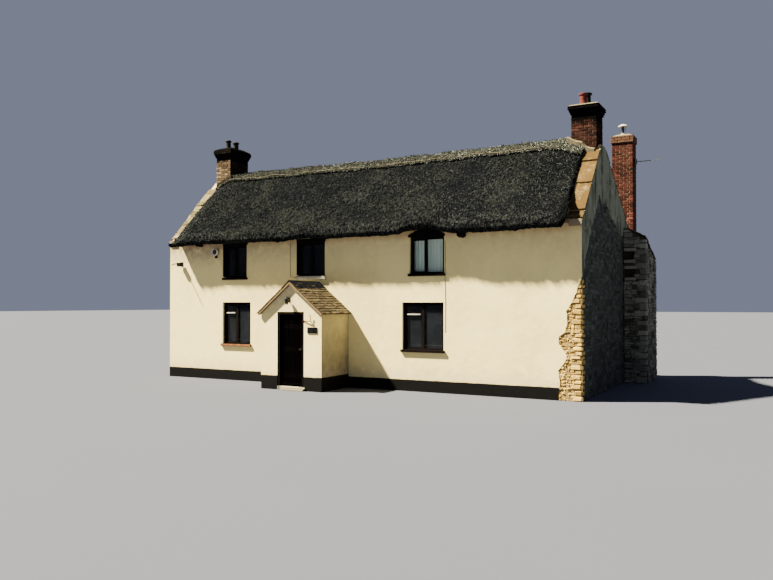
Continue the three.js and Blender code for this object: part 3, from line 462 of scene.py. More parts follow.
def plain_finish(name, tint, rough, metal=0.0, wear=None, specular=0.4):
    """Metal, clay, paint or plastic: two tones, fine unevenness, and wear in patches."""
    made = Finish(name, specular)
    patch = made.noise(8.0, 4.0, 0.65)
    fine = made.noise(90.0, 2.0)
    tone = made.fade(shade(tint, 0.8), shade(tint, 1.15), patch, 0.35, 0.65)
    if wear:
        tone = made.fade(tone, wear, patch, 0.55, 0.68)
    made.shader.inputs["Metallic"].default_value = metal
    return made.done(tone, rough + patch * 0.2, fine + patch, 0.002, 0.5)


def glass_finish(name, tint, alpha):
    """Old glass, a little uneven and smeared."""
    pane = Finish(name, 0.12)
    smear = pane.noise(2.5, 3.0, 0.6)
    made = pane.fade(tint, shade(tint, 1.6), smear, 0.4, 0.7)
    pane.shader.inputs["Alpha"].default_value = alpha
    return pane.done(made, 0.03 + smear * 0.06, smear, 0.004, 0.15)


def lead_finish():
    """Dark sheet lead with streaks down its slopes."""
    lead = Finish("sheet_lead", 0.02)
    patch = lead.noise(7.0, 5.0, 0.7)
    streak = lead.noise(5.0, 3.0, 0.6, (1.0, 4.0, 1.0))
    made = lead.fade((0.003, 0.0034, 0.005), (0.008, 0.0085, 0.012), patch, 0.35, 0.7)
    made = lead.fade(made, (0.009, 0.009, 0.011), streak, 0.6, 0.75, 0.5)
    return lead.done(made, 0.55 + patch * 0.2, patch, 0.006, 0.6)


def board_finish():
    """Wide floorboards, running across the house."""
    boards = Finish("floorboards", 0.3)
    x = boards.coordinate(0)
    gap = boards.node("ShaderNodeMath", {"operation": "PINGPONG"}, {0: x, 1: 0.09})
    grain = boards.noise(12.0, 4.0, 0.6, (1.0, 0.06, 1.0))
    made = boards.fade((0.16, 0.10, 0.055), (0.27, 0.18, 0.10), grain, 0.35, 0.65)
    joint = boards.between(gap, 0.004, 0.001)
    made = boards.mix(made, (0.02, 0.014, 0.01), joint)
    return boards.done(made, 0.7, grain * 0.4 - joint, 0.004, 0.7)


def flag_finish():
    """Stone flags, with joints from a cell pattern."""
    flags = Finish("flagstones", 0.3)
    options = {"feature": "DISTANCE_TO_EDGE"}
    edge = flags.node("ShaderNodeTexVoronoi", options, {"Vector": flags.place, "Scale": 1.9})
    patch = flags.noise(4.0, 4.0, 0.6)
    made = flags.fade((0.16, 0.145, 0.12), (0.31, 0.28, 0.23), patch, 0.35, 0.65)
    joint = flags.between(edge, 0.035, 0.015)
    made = flags.mix(made, (0.06, 0.052, 0.042), joint)
    return flags.done(made, 0.75, patch * 0.3 - joint, 0.006, 0.7)


# Modelling with Blender's own tools

def deselect():
    bpy.ops.object.select_all(action="DESELECT")


def activate(piece):
    deselect()
    piece.select_set(True)
    bpy.context.view_layer.objects.active = piece


class Editing:
    """Edit mode on one piece, with all of it selected at first."""

    def __init__(self, piece):
        self.piece = piece

    def __enter__(self):
        activate(self.piece)
        bpy.ops.object.mode_set(mode="EDIT")
        bpy.ops.mesh.select_all(action="SELECT")

    def __exit__(self, *_):
        bpy.ops.object.mode_set(mode="OBJECT")


def named_active(name):
    piece = bpy.context.active_object
    piece.name = name
    return piece


def block(name, low, high, bevel=0.004, segments=1):
    """A box with its edges taken off."""
    low, high = Vector(low), Vector(high)
    deselect()
    bpy.ops.mesh.primitive_cube_add(size=1, location=(low + high) / 2, scale=high - low)
    piece = named_active(name)
    bpy.ops.object.transform_apply()
    with Editing(piece):
        bpy.ops.mesh.bevel(offset=bevel, segments=segments, affect="EDGES")
    return piece


def ring_of_points(name, points, fill):
    """A circle of as many corners as there are points, each corner moved to its point."""
    deselect()
    bpy.ops.mesh.primitive_circle_add(vertices=len(points), fill_type=fill)
    piece = named_active(name)
    for vertex, point in zip(piece.data.vertices, points):
        vertex.co = point
    return piece


def plate(name, points, thickness, bevel=0.0):
    """A flat outline drawn out by the vector thickness."""
    piece = ring_of_points(name, points, "NGON")
    with Editing(piece):
        bpy.ops.mesh.extrude_region_move(TRANSFORM_OT_translate={"value": thickness})
        bpy.ops.mesh.select_all(action="SELECT")
        bpy.ops.mesh.normals_make_consistent(inside=False)
        if bevel:
            bpy.ops.mesh.bevel(offset=bevel, affect="EDGES")
    return piece


def turned(name, profile, centre, axis=UP, steps=24):
    """A closed profile of radius and height, turned about an axis through the centre."""
    axis = Vector(axis)
    side = axis.orthogonal().normalized()
    centre = Vector(centre)
    piece = ring_of_points(name, [centre + side * r + axis * h for r, h in profile], "NOTHING")
    with Editing(piece):
        bpy.ops.mesh.spin(steps=steps, angle=math.tau, center=centre, axis=axis)
        bpy.ops.mesh.select_all(action="SELECT")
        bpy.ops.mesh.remove_doubles(threshold=0.0001)
        bpy.ops.mesh.normals_make_consistent(inside=False)
    smooth(piece)
    return piece


def linked(name, data):
    """A mesh, curve, lens or lamp as a new object of the scene."""
    made = bpy.data.objects.new(name, data)
    bpy.context.scene.collection.objects.link(made)
    return made


def rod(name, points, radius):
    """A round bar or wire along straight runs between points."""
    curve = bpy.data.curves.new(name, "CURVE")
    curve.dimensions = "3D"
    curve.bevel_depth = radius
    curve.bevel_resolution = 1
    curve.use_fill_caps = True
    line = curve.splines.new("POLY")
    line.points.add(len(points) - 1)
    for spot, point in zip(line.points, points):
        spot.co = (*point, 1.0)
    activate(linked(name, curve))
    bpy.ops.object.convert(target="MESH")
    piece = named_active(name)
    smooth(piece, 50)
    return piece


def smooth(piece, angle=35):
    activate(piece)
    bpy.ops.object.shade_smooth_by_angle(angle=math.radians(angle))


def joined(name, pieces):
    deselect()
    for piece in pieces:
        piece.select_set(True)
    bpy.context.view_layer.objects.active = pieces[0]
    bpy.ops.object.join()
    return named_active(name)


def copy_of(node, name):
    """A merged copy of a solid's mesh, as a new piece."""
    piece = linked(name, NODES[node].data.copy())
    piece.data.materials.clear()
    with Editing(piece):
        bpy.ops.mesh.remove_doubles(threshold=0.00005)
    return piece


def shrunk_copy(node, name, inset):
    """A merged copy drawn in by an inset on every side, as the mortar behind bricks or stones."""
    piece = copy_of(node, name)
    with Editing(piece):
        bpy.ops.mesh.dissolve_limited(angle_limit=math.radians(1))
        bpy.ops.transform.shrink_fatten(value=-inset, use_even_offset=True)
    return piece


def modify(piece, kind, **options):
    activate(piece)
    modifier = piece.modifiers.new(kind.title(), kind)
    for key, value in options.items():
        setattr(modifier, key, value)
    bpy.ops.object.modifier_apply(modifier=modifier.name)


def roughen(piece, scale, strength, sink=0.0):
    """Moves a dense surface in and out by a cloudy pattern, about a mean that lies sunk in it."""
    texture = bpy.data.textures.new(f"{piece.name}_rough", "CLOUDS")
    texture.noise_scale = scale
    modify(piece, "DISPLACE", texture=texture, strength=strength, mid_level=0.5 + sink / strength)


def remeshed(node, name, voxel, *clouds):
    """A copy of a solid in even small faces, roughened by one or more cloudy patterns."""
    piece = copy_of(node, name)
    piece.data.remesh_voxel_size = voxel
    activate(piece)
    bpy.ops.object.voxel_remesh()
    for cloud in clouds:
        roughen(piece, *cloud)
    smooth(piece, 60)
    return piece


def dress(piece, material, replaces=(), body="house"):
    """Gives a piece its finish and its body, and the solids that it stands for."""
    piece.data.materials.clear()
    piece.data.materials.append(material)
    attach(piece, body)
    if replaces:
        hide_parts(*replaces)


def paint(node, material):
    NODES[node].material_slots[0].material = material


class Surfaces:
    """The faces of some solids, to be felt from above."""

    def __init__(self, *nodes):
        self.trees = []
        for node in nodes:
            mesh = NODES[node].data
            corners = [vertex.co for vertex in mesh.vertices]
            self.trees.append(BVHTree.FromPolygons(corners, [face.vertices for face in mesh.polygons]))

    def height(self, x, y):
        hits = [tree.ray_cast(Vector((x, y, 9.0)), -UP)[0] for tree in self.trees]
        return max(spot.z for spot in hits if spot)


# Many small pieces as one mesh

class Face:
    """A flat face: a corner of it, and the directions along it, up it and out of it."""

    def __init__(self, origin, along, up, out):
        self.origin = np.array(origin, float)
        self.along = np.array(along, float)
        self.up = np.array(up, float)
        self.out = np.array(out, float)

    def points(self, u, v, depth):
        return self.origin + np.outer(u, self.along) + np.outer(v, self.up) + np.outer(depth, self.out)


class Gathering:
    """Copies of one modelled shape, each fitted to its own cell, gathered as one mesh."""

    def __init__(self, shape, seed):
        self.shape = np.array([vertex.co for vertex in shape.data.vertices])
        self.faces = [tuple(polygon.vertices) for polygon in shape.data.polygons]
        self.draw = np.random.default_rng(seed)
        self.spots = []
        self.tones = []
        bpy.data.objects.remove(shape)

    def add(self, spots, tone):
        self.spots.append(spots.reshape(-1, 3))
        self.tones.append(np.repeat(tone, len(self.shape)))

    def lay(self, face, corners, back, front, rough, tone=None):
        """One copy between four corners on a face, from a depth behind it to one in front."""
        x, y, z = self.shape.T
        low_left, low_right, high_right, high_left = (np.array(corner) for corner in corners)
        across = np.outer((1 - x) * (1 - z), low_left) + np.outer(x * (1 - z), low_right)
        across = across + np.outer(x * z, high_right) + np.outer((1 - x) * z, high_left)
        spots = face.points(across[:, 0], across[:, 1], back + (front - back) * y)
        spots = spots + self.draw.normal(0, rough, spots.shape)
        self.add(spots, self.draw.beta(2.2, 2.2) if tone is None else tone)

    def build(self, name):
        """The copies as one mesh, kept inside the box of the solids."""
        spots = np.clip(np.concatenate(self.spots), *SOLIDS)
        copies = len(spots) // len(self.shape)
        starts = np.arange(copies) * len(self.shape)
        faces = [tuple(start + index for index in face) for start in starts.tolist() for face in self.faces]
        mesh = bpy.data.meshes.new(name)
        mesh.from_pydata(spots.tolist(), [], faces)
        tone = mesh.attributes.new("tone", "FLOAT", "POINT")
        tone.data.foreach_set("value", np.concatenate(self.tones).astype(np.float32))
        return linked(name, mesh)


def unit_block(bevel, cuts=0):
    """A cube from 0 to 1 with worn edges, to be fitted to the cell of a brick, stone or slate."""
    deselect()
    bpy.ops.mesh.primitive_cube_add(size=1, location=(0.5, 0.5, 0.5))
    piece = named_active("unit_block")
    bpy.ops.object.transform_apply()
    with Editing(piece):
        if cuts:
            bpy.ops.mesh.subdivide(number_cuts=cuts)
            bpy.ops.transform.tosphere(value=bevel)
        else:
            bpy.ops.mesh.bevel(offset=bevel, affect="EDGES")
    return piece


def unit_spike():
    """A three-sided spike of height 1 and width 1, to be drawn out as a tuft of straw."""
    deselect()
    bpy.ops.mesh.primitive_cone_add(vertices=3, radius1=0.5, radius2=0.0, depth=1, location=(0, 0, 0.5))
    piece = named_active("unit_spike")
    bpy.ops.object.transform_apply()
    return piece


def rectangle(left, right, low, high):
    """The corners of a cell on a face, from the lower left one round to the upper left one."""
    return [(left, low), (right, low), (right, high), (left, high)]


def runs_along(start, end, draw_run, least, slack=0.0):
    """Where each run from start to end begins, and its length, with no last one under the least."""
    at = start
    while at < end - slack:
        run = min(draw_run(), end - at)
        if end - at - run < least:
            run = end - at
        yield at, run
        at += run


def anywhere(u, z):
    return True


def no_ceiling(u):
    return math.inf


STONE_DEPTH = 0.075
STONE_ROUGHNESS = 0.005


def rubble(stones, face, span, levels, rises, runs, inside=anywhere, ceiling=no_ceiling, relief=0.018):
    """Rough courses of stones on a face, from rises high and runs long, where inside says so."""
    draw = stones.draw
    half = settings("walls").joint / 2

    def bed(level, u):
        wave = math.sin(u * 3.1 + level * 7.0) + 0.6 * math.sin(u * 8.3 + level * 13.0)
        return level + wave * 0.016 * min(1.0, (level - levels[0]) * 5)

    def stone(left, right, low, high, shares):
        corners = []
        for (foot, head), inward in ((left, half), (right, -half)):
            bottom, top = bed(low, foot), min(bed(high, head), ceiling(head))
            corners.append((foot + inward, bottom + (top - bottom) * shares[0] + half))
            corners.append((head + inward, bottom + (top - bottom) * shares[1] - half))
        low_left, high_left, low_right, high_right = corners
        if min(high_left[1] - low_left[1], high_right[1] - low_right[1]) > 0.02:
            corners = (low_left, low_right, high_right, high_left)
            stones.lay(face, corners, -STONE_DEPTH, -draw.uniform(0, relief), STONE_ROUGHNESS)

    low = levels[0]
    while low < levels[1]:
        high = low + draw.uniform(*rises)
        left = (span[0], span[0])
        while left[0] < span[1] - 0.001:
            middle = left[0] + draw.uniform(*runs)
            lean = draw.uniform(-0.3, 0.3) * (high - low)
            right = (middle + lean, middle - lean)
            if max(right) > span[1] - 0.06:
                right = (span[1], span[1])
            if inside((left[0] + right[0]) / 2, (low + high) / 2):
                split = draw.uniform(0.35, 0.65) if draw.random() < 0.35 and high - low > 0.11 else 1.0
                stone(left, right, low, high, (0.0, split))
                if split < 1.0:
                    stone(left, right, low, high, (split, 1.0))
            left = right
        low = high


# Outlines of the exposed rubble, along the face and up it, in metres
GABLE_RUBBLE = (
    (0.0, 2.88), (0.22, 3.12), (0.27, 3.32), (0.55, 3.62), (0.88, 4.08), (1.14, 4.33), (1.50, 4.66),
    (1.78, 5.04), (1.97, 5.06), (2.10, 4.90), (2.52, 4.92), (2.95, 4.80), (3.40, 4.58), (4.00, 4.44),
    (4.45, 4.22), (5.10, 4.28), (5.60, 4.00),
)
CORNER_RUBBLE = (
    (0.0, 0.0), (0.04, 0.30), (0.07, 0.48), (0.02, 0.70), (0.15, 0.86), (0.24, 1.04), (0.13, 1.22),
    (0.03, 1.34), (0.06, 1.50), (0.20, 1.62), (0.24, 1.86), (0.22, 2.10), (0.34, 2.32), (0.46, 2.55),
    (0.52, 2.76), (0.60, 2.88),
)
CORNER_LICHEN = (0.76, 0.58, 0.22)
CORNER_MORTAR = (0.27, 0.185, 0.075)


def ragged(points, step, amplitude, seed):
    """A line with points between its corners, each moved a little, as broken render has."""
    draw = np.random.default_rng(seed)
    made = []
    for start, end in zip(points, points[1:]):
        count = max(1, round(math.dist(start, end) / step))
        for index in range(count):
            share = index / count
            made.append([
                start[0] + (end[0] - start[0]) * share + draw.uniform(-1, 1) * amplitude,
                start[1] + (end[1] - start[1]) * share + draw.uniform(-1, 1) * amplitude,
            ])
    made.append(list(points[-1]))
    return made


def below_line(points):
    """Whether a spot lies under a line that runs from left to right."""
    xs, zs = zip(*points)
    return lambda u, z: z < np.interp(u, xs, zs)


def break_render(gable, faces):
    """Cuts the coat away where the rubble shows."""
    depth = settings("walls").coat
    over = 0.05
    side = ragged(GABLE_RUBBLE, 0.10, 0.022, 11)
    side = [(-over, -over), (-over, GABLE_RUBBLE[0][1])] + side[1:] + [(REAR - FRONT - 0.1, -over)]
    corner = ragged(CORNER_RUBBLE, 0.09, 0.014, 12)
    corner = [(max(0.012, u), max(-over, z)) for u, z in corner]
    beyond = GABLE_THICKNESS + over
    corner = [(corner[0][0], -over)] + corner + [(beyond, CORNER_RUBBLE[-1][1]), (beyond, -over)]
    for face, points in zip(faces, (side, corner)):
        floor = [face.points([u], [z], [-depth])[0] for u, z in points]
        cutter = plate("cutter", floor, Vector(face.out) * (depth + over))
        modify(gable, "BOOLEAN", operation="DIFFERENCE", object=cutter, solver="EXACT")
        bpy.data.objects.remove(cutter)
    return side, corner


def corner_stones(stones, corner, levels, longs, shorts, rises):
    """Long and short stones, by turns, up a corner between a front face and a right-hand one."""
    draw = stones.draw
    joint = 0.005
    low = levels[0]
    turn = 0
    face = Face(corner, (-1, 0, 0), UP, AHEAD)
    while low < levels[1] - 0.08:
        top = min(low + draw.uniform(*rises), levels[1])
        width, depth = draw.uniform(*longs), draw.uniform(*shorts)
        if turn % 2:
            width, depth = depth, width
        proud = draw.uniform(0.0, 0.006)
        lean = draw.uniform(-0.012, 0.012)
        foot, head = low + joint, top - joint
        corners = [(proud, foot), (width + lean, foot), (width - lean, head), (proud, head)]
        stones.lay(face, corners, -depth, -proud, STONE_ROUGHNESS)
        low = top
        turn += 1


def mortar_bed(name, face, outline, thickness, finish):
    """A bed of mortar of a broken patch's outline, on the floor of the patch."""
    floor = 0.002 - settings("walls").coat
    points = [face.points([u], [z], [floor])[0] for u, z in outline]
    dress(plate(name, points, Vector(face.out) * thickness), finish)


# The straw: the grain of its two coats, where the eaves begin, and the strip that hangs over the left verge
STRAW_VOXEL = 0.052
RIDGE_VOXEL = 0.036
LIP_FROM_RIDGE = 2.4
OVERHANG = 0.17
OVERHANG_STRIP = 0.30
LEFT_VERGE = (0.7, 2.15)


def triangles_of(mesh):
    """The corners of a mesh's triangles, their unit normals, and twice their areas."""
    mesh.calc_loop_triangles()
    corners = np.zeros(len(mesh.loop_triangles) * 3, np.int32)
    mesh.loop_triangles.foreach_get("vertices", corners)
    spots = np.zeros(len(mesh.vertices) * 3)
    mesh.vertices.foreach_get("co", spots)
    triangles = spots.reshape(-1, 3)[corners.reshape(-1, 3)]
    normals = np.cross(triangles[:, 1] - triangles[:, 0], triangles[:, 2] - triangles[:, 0])
    areas = np.linalg.norm(normals, axis=1)
    return triangles, normals / np.maximum(areas, 1e-12)[:, None], areas


def scatter(draw, mesh, count):
    """Random spots where straw shows, on top of a coat and round its lip, with the normals there."""
    triangles, normals, areas = triangles_of(mesh)
    at_lip = (np.abs(triangles.mean(axis=1)[:, 1] - RIDGE_Y) > LIP_FROM_RIDGE) & (normals[:, 2] > -0.45)
    at_end = np.abs(normals[:, 0]) > 0.75
    weights = areas * ((normals[:, 2] > 0.12) | at_lip) * ~at_end
    picked = draw.choice(len(areas), count, p=weights / weights.sum())
    share = draw.random((count, 2))
    flip = share.sum(axis=1) > 1
    share[flip] = 1 - share[flip]
    first, second, third = (triangles[picked, corner] for corner in range(3))
    return first + share[:, :1] * (second - first) + share[:, 1:] * (third - first), normals[picked]


def lay_straw(coat, count, seed, length, width, spread=0.6, lift=0.22):
    """Straw tufts that lie down the slope of a coat, with their ends a little raised."""
    tufts = Gathering(unit_spike(), seed)
    draw = tufts.draw
    roots, out = scatter(draw, coat.data, count)
    from_ridge = np.abs(roots[:, 1] - RIDGE_Y)
    on_slope = (from_ridge > LEFT_VERGE[0]) * (from_ridge < LEFT_VERGE[1])
    over_verge = (roots[:, 0] < OVERHANG_STRIP - THATCH_END) * on_slope
    roots = roots - np.outer(draw.uniform(0, OVERHANG, count) * over_verge, (1.0, 0.0, 0.45))
    away = np.where(roots[:, 1] < RIDGE_Y, -1.0, 1.0)
    fall = np.stack([np.zeros(count), away * 0.7, np.full(count, -0.7)], axis=1)
    fall = fall - (fall * out).sum(axis=1)[:, None] * out
    fall = fall / np.maximum(np.linalg.norm(fall, axis=1), 0.2)[:, None]
    across = np.cross(out, fall)
    turn = draw.normal(0, spread, count)[:, None]
    rise = np.abs(draw.normal(lift, lift * 0.6, count))[:, None]
    along = fall * np.cos(turn) + across * np.sin(turn) + out * rise
    across = np.cross(out, along)
    lengths = length * draw.uniform(0.5, 1.5, count) * np.where(out[:, 2] > 0.35, 1.0, 0.45)
    widths = (width * draw.uniform(0.6, 1.5, count))[:, None]
    x, y, z = tufts.shape.T
    made = roots[:, None] - out[:, None] * 0.006
    made = made + (across * widths)[:, None] * x[None, :, None] + (out * widths)[:, None] * y[None, :, None]
    made = made + (along * lengths[:, None])[:, None] * (z - 0.25)[None, :, None]
    made[..., 0] = np.clip(made[..., 0], -THATCH_END - OVERHANG - 0.02, THATCH_END + 0.02)
    tufts.add(made, np.clip(draw.normal(0.5, 0.36, count), 0, 1))
    return tufts


# Operators: one for each piece or group of like pieces

class Step(bpy.types.Operator):
    """What the cottage's operators share."""

    bl_options = {"REGISTER", "UNDO"}

    def execute(self, context):
        self.make()
        return {"FINISHED"}


class DressWalls(Step):
    """Render on the walls, broken off the right-hand gable where its rubble shows"""

    bl_idname = "cottage.walls"
    bl_label = "Walls"

    def make(self):
        walls = settings("walls")
        coat = render_finish("lime_render", walls.wall_plinth, 3.45, 4.5)
        porch_coat = render_finish("porch_render", walls.porch_plinth, 2.05, 2.75, on_porch=True)
        for node in ("front_wall_left", "front_wall_right", "front_wall_over_door", "rear_wall",
                     "left_gable_wall"):
            paint(node, coat)
        for node in ("porch_left_wall", "porch_right_wall", "porch_gable_head"):
            paint(node, porch_coat)
        side = Face((RIGHT, FRONT, 0), (0, 1, 0), UP, (1, 0, 0))
        corner = Face((GABLE_INNER, FRONT, 0), (1, 0, 0), UP, AHEAD)
        gable = copy_of("right_gable_wall", "right_gable_masonry")
        side_outline, corner_outline = break_render(gable, (side, corner))
        dress(gable, coat, ["right_gable_wall"])
        self.lay_gable(side, side_outline)
        self.lay_corner(corner, corner_outline)

    def lay_gable(self, side, outline):
        """Rubble in the broken patch of the gable, on a bed of mortar."""
        walls = settings("walls")
        stones = Gathering(unit_block(0.10), 21)
        under = below_line([(u, z + 0.05) for u, z in GABLE_RUBBLE])
        rubble(stones, side, (0.22, 5.0), (0.0, 5.2), (0.07, 0.17), (0.10, 0.34), under)
        dress(stones.build("gable_rubble"), stone_finish("dark_rubble", walls.dark_stone))
        outline = [(max(0.02, u), max(0.003, z)) for u, z in outline]
        mortar_bed("gable_rubble_mortar", side, outline, 0.009, mortar_finish("rubble_mortar", walls.mortar))

    def lay_corner(self, corner, outline):
        """Golden rubble and corner stones where the front corner has lost its render."""
        walls = settings("walls")
        stones = Gathering(unit_block(0.20), 22)
        edge_us, edge_zs = zip(*CORNER_RUBBLE)

        def beyond_edge(u, z):
            return u > np.interp(z, edge_zs, edge_us) - 0.03

        rubble(stones, corner, (0.02, 0.42), (0.0, 2.5), (0.040, 0.085), (0.045, 0.12), beyond_edge,
               relief=0.026)
        corner_stones(stones, (RIGHT, FRONT, 0), (0.0, 2.86), (0.20, 0.34), (0.12, 0.22), (0.08, 0.15))
        pale = stone_finish("corner_rubble_stone", walls.pale_stone, 0.6, CORNER_LICHEN)
        dress(stones.build("corner_rubble"), pale)
        outline = [(min(GABLE_THICKNESS - 0.01, u), max(0.003, z)) for u, z in outline]
        mortar = mortar_finish("corner_mortar", CORNER_MORTAR)
        mortar_bed("corner_rubble_mortar", corner, outline, 0.006, mortar)


class DressThatch(Step):
    """The thatch's rough coat on both slopes, with the straw ends that stand out of it"""

    bl_idname = "cottage.thatch"
    bl_label = "Thatch"

    def make(self):
        straw = settings("thatch")
        finish = thatch_finish("weathered_thatch", straw.dark, straw.light, straw.moss)
        for side, count, seed in (("front", straw.front_straws, 31), ("rear", straw.rear_straws, 32)):
            node = f"thatch_{side}"
            coat = remeshed(node, f"{node}_coat", STRAW_VOXEL, (0.30, 0.04, straw.sink), (0.07, 0.04))
            dress(coat, finish, [node])
            tufts = lay_straw(coat, count, seed, straw.straw_length, straw.straw_width)
            dress(tufts.build(f"{node}_straw"), finish)


# The hazel rods: their lines beside the ridge, where they start and stop, and their sizes
RODS_FROM_RIDGE = 0.57
ROD_START = 0.72
ROD_STOP = 0.80
ROD_LENGTH = 1.55
ROD_STEP = 1.45
ROD_RADIUS = 0.011


class DressRidge(Step):
    """The block ridge of newer straw, with the rods that hold it down"""

    bl_idname = "cottage.ridge"
    bl_label = "Ridge"

    def make(self):
        straw = settings("thatch")
        moss = shade(straw.ridge_dark, 1.2)
        finish = thatch_finish("ridge_straw", straw.ridge_dark, straw.ridge_light, moss, 0.55)
        cap = remeshed("thatch_ridge", "ridge_block", RIDGE_VOXEL, (0.16, 0.04, straw.sink), (0.05, 0.03))
        dress(cap, finish, ["thatch_ridge"])
        tufts = lay_straw(cap, straw.ridge_straws, 33, 0.12, 0.018, 0.5, 0.25)
        dress(tufts.build("ridge_tufts"), finish)
        self.lay_rods(cap)

    def lay_rods(self, cap):
        """Split hazel rods, overlapping end to end, along the lower edges of the ridge."""
        rods = []
        for row, offset in enumerate((-RODS_FROM_RIDGE, RODS_FROM_RIDGE)):
            start = -THATCH_END + ROD_START
            while start < THATCH_END - ROD_STOP:
                end = min(start + ROD_LENGTH, THATCH_END - ROD_STOP + 0.05)
                points = []
                for index in range(9):
                    x = start + (end - start) * index / 8
                    hit, spot, normal, _ = cap.ray_cast((x, RIDGE_Y + offset, 8.0), -UP)
                    if hit:
                        points.append(spot + normal * 0.012)
                if len(points) > 2:
                    rods.append(rod(f"rod_{row}_{len(rods)}", points, ROD_RADIUS))
                start += ROD_STEP
        hazel = timber_finish("split_hazel", (0.085, 0.070, 0.050), 0.6)
        dress(joined("ridge_rods", rods), hazel)


# The verges: side, slope, lengths of the slates from the eaves up as shares, and seed
LEFT_SLATES = (0.20, 0.26, 0.17, 0.31, 0.22, 0.15, 0.28, 0.21)
VERGES = (
    ("left", "front", LEFT_SLATES, 23),
    ("left", "rear", LEFT_SLATES, 22),
    ("right", "front", (0.205, 0.687, 0.590, 0.325), 24),
    ("right", "rear", (1, 1, 1, 1, 1, 1), 23),
)


class DressVerges(Step):
    """Stone slates on the verges of both gables"""

    bl_idname = "cottage.verges"
    bl_label = "Verge slates"

    def make(self):
        stone = settings("roof_stone")
        finishes = {
            "right": stone_finish("verge_slate_stone", stone.verge, 0.45, stone.lichen),
            "left": stone_finish("left_verge_slate_stone", (0.115, 0.094, 0.050), 0.8, (0.42, 0.36, 0.21)),
        }
        bedding = mortar_finish("verge_bed_mortar", (0.030, 0.020, 0.012))
        for side, slope, shares, seed in VERGES:
            node = f"{side}_{slope}_verge_slates"
            slates = Gathering(unit_block(0.10, 2), seed)
            beds = Gathering(unit_block(0.05), 1)
            self.lay(slates, beds, node, slope, shares)
            dress(slates.build(f"{node}_laid"), finishes[side], [node])
            dress(beds.build(f"{node}_bed"), bedding)

    def lay(self, slates, beds, node, slope, shares):
        """Slates whose tails lie on the slates below, each on a bed of mortar that stands back."""
        low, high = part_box(node)
        toward, start = (1, low.y) if slope == "front" else (-1, high.y)
        under = Surfaces(node)
        middle = (low.x + high.x) / 2
        scale = (high.y - low.y) / sum(shares)
        width = high.x - low.x
        at = 0.001
        for share in shares:
            length = share * scale
            ends = []
            for along in (at + 0.002, at + length - 0.004):
                y = start + toward * along
                ends.append(Vector((low.x, y, under.height(middle, y))))
            tail, head = ends
            up = (head - tail).normalized()
            face = Face(tail, (1, 0, 0), up, Vector((1, 0, 0)).cross(up) * toward)
            span = (head - tail).length + 0.004
            lean = max(0.0, slates.draw.uniform(-0.004, 0.004))
            reach = span - 0.018
            corners = [(0.003, 0.0), (width - 0.003, lean), (width - 0.006, reach), (0.006, reach)]
            sunk, roughness = (slates.draw.uniform(0.0, 0.014), 0.009) if low.x < 0 else (0.002, 0.002)
            slates.lay(face, corners, -0.030, -sunk, roughness)
            beds.lay(face, rectangle(0.012, width - 0.012, 0.024, span), -0.06, -0.028, 0.0)
            at += length


# The stacks' colours and sizes that no setting changes
REAR_BRICK = (0.062, 0.0215, 0.0165)
REAR_CROWN = (0.080, 0.044, 0.031)
CORBEL_DROPS = {"right": 0.225, "left": 0.255, "rear": 0.215}
CORBEL_COURSE = 0.062
CORBEL_STEP = 0.025
CORBEL_STEPS = 3
CORBELLED = CORBEL_STEP * CORBEL_STEPS
REAR_OVERSAIL = 0.030
# How strongly painted shade darkens each stack's sides that face along the house
SIDE_SHADE = {"right": 0.4, "left": 0.9, "rear": 0.0}

# The top of the mortar against the right stack, along the house and up it
RIGHT_FILLET = ((5.518, 6.743), (5.755, 6.612), (6.220, 6.329), (6.474, 6.277))


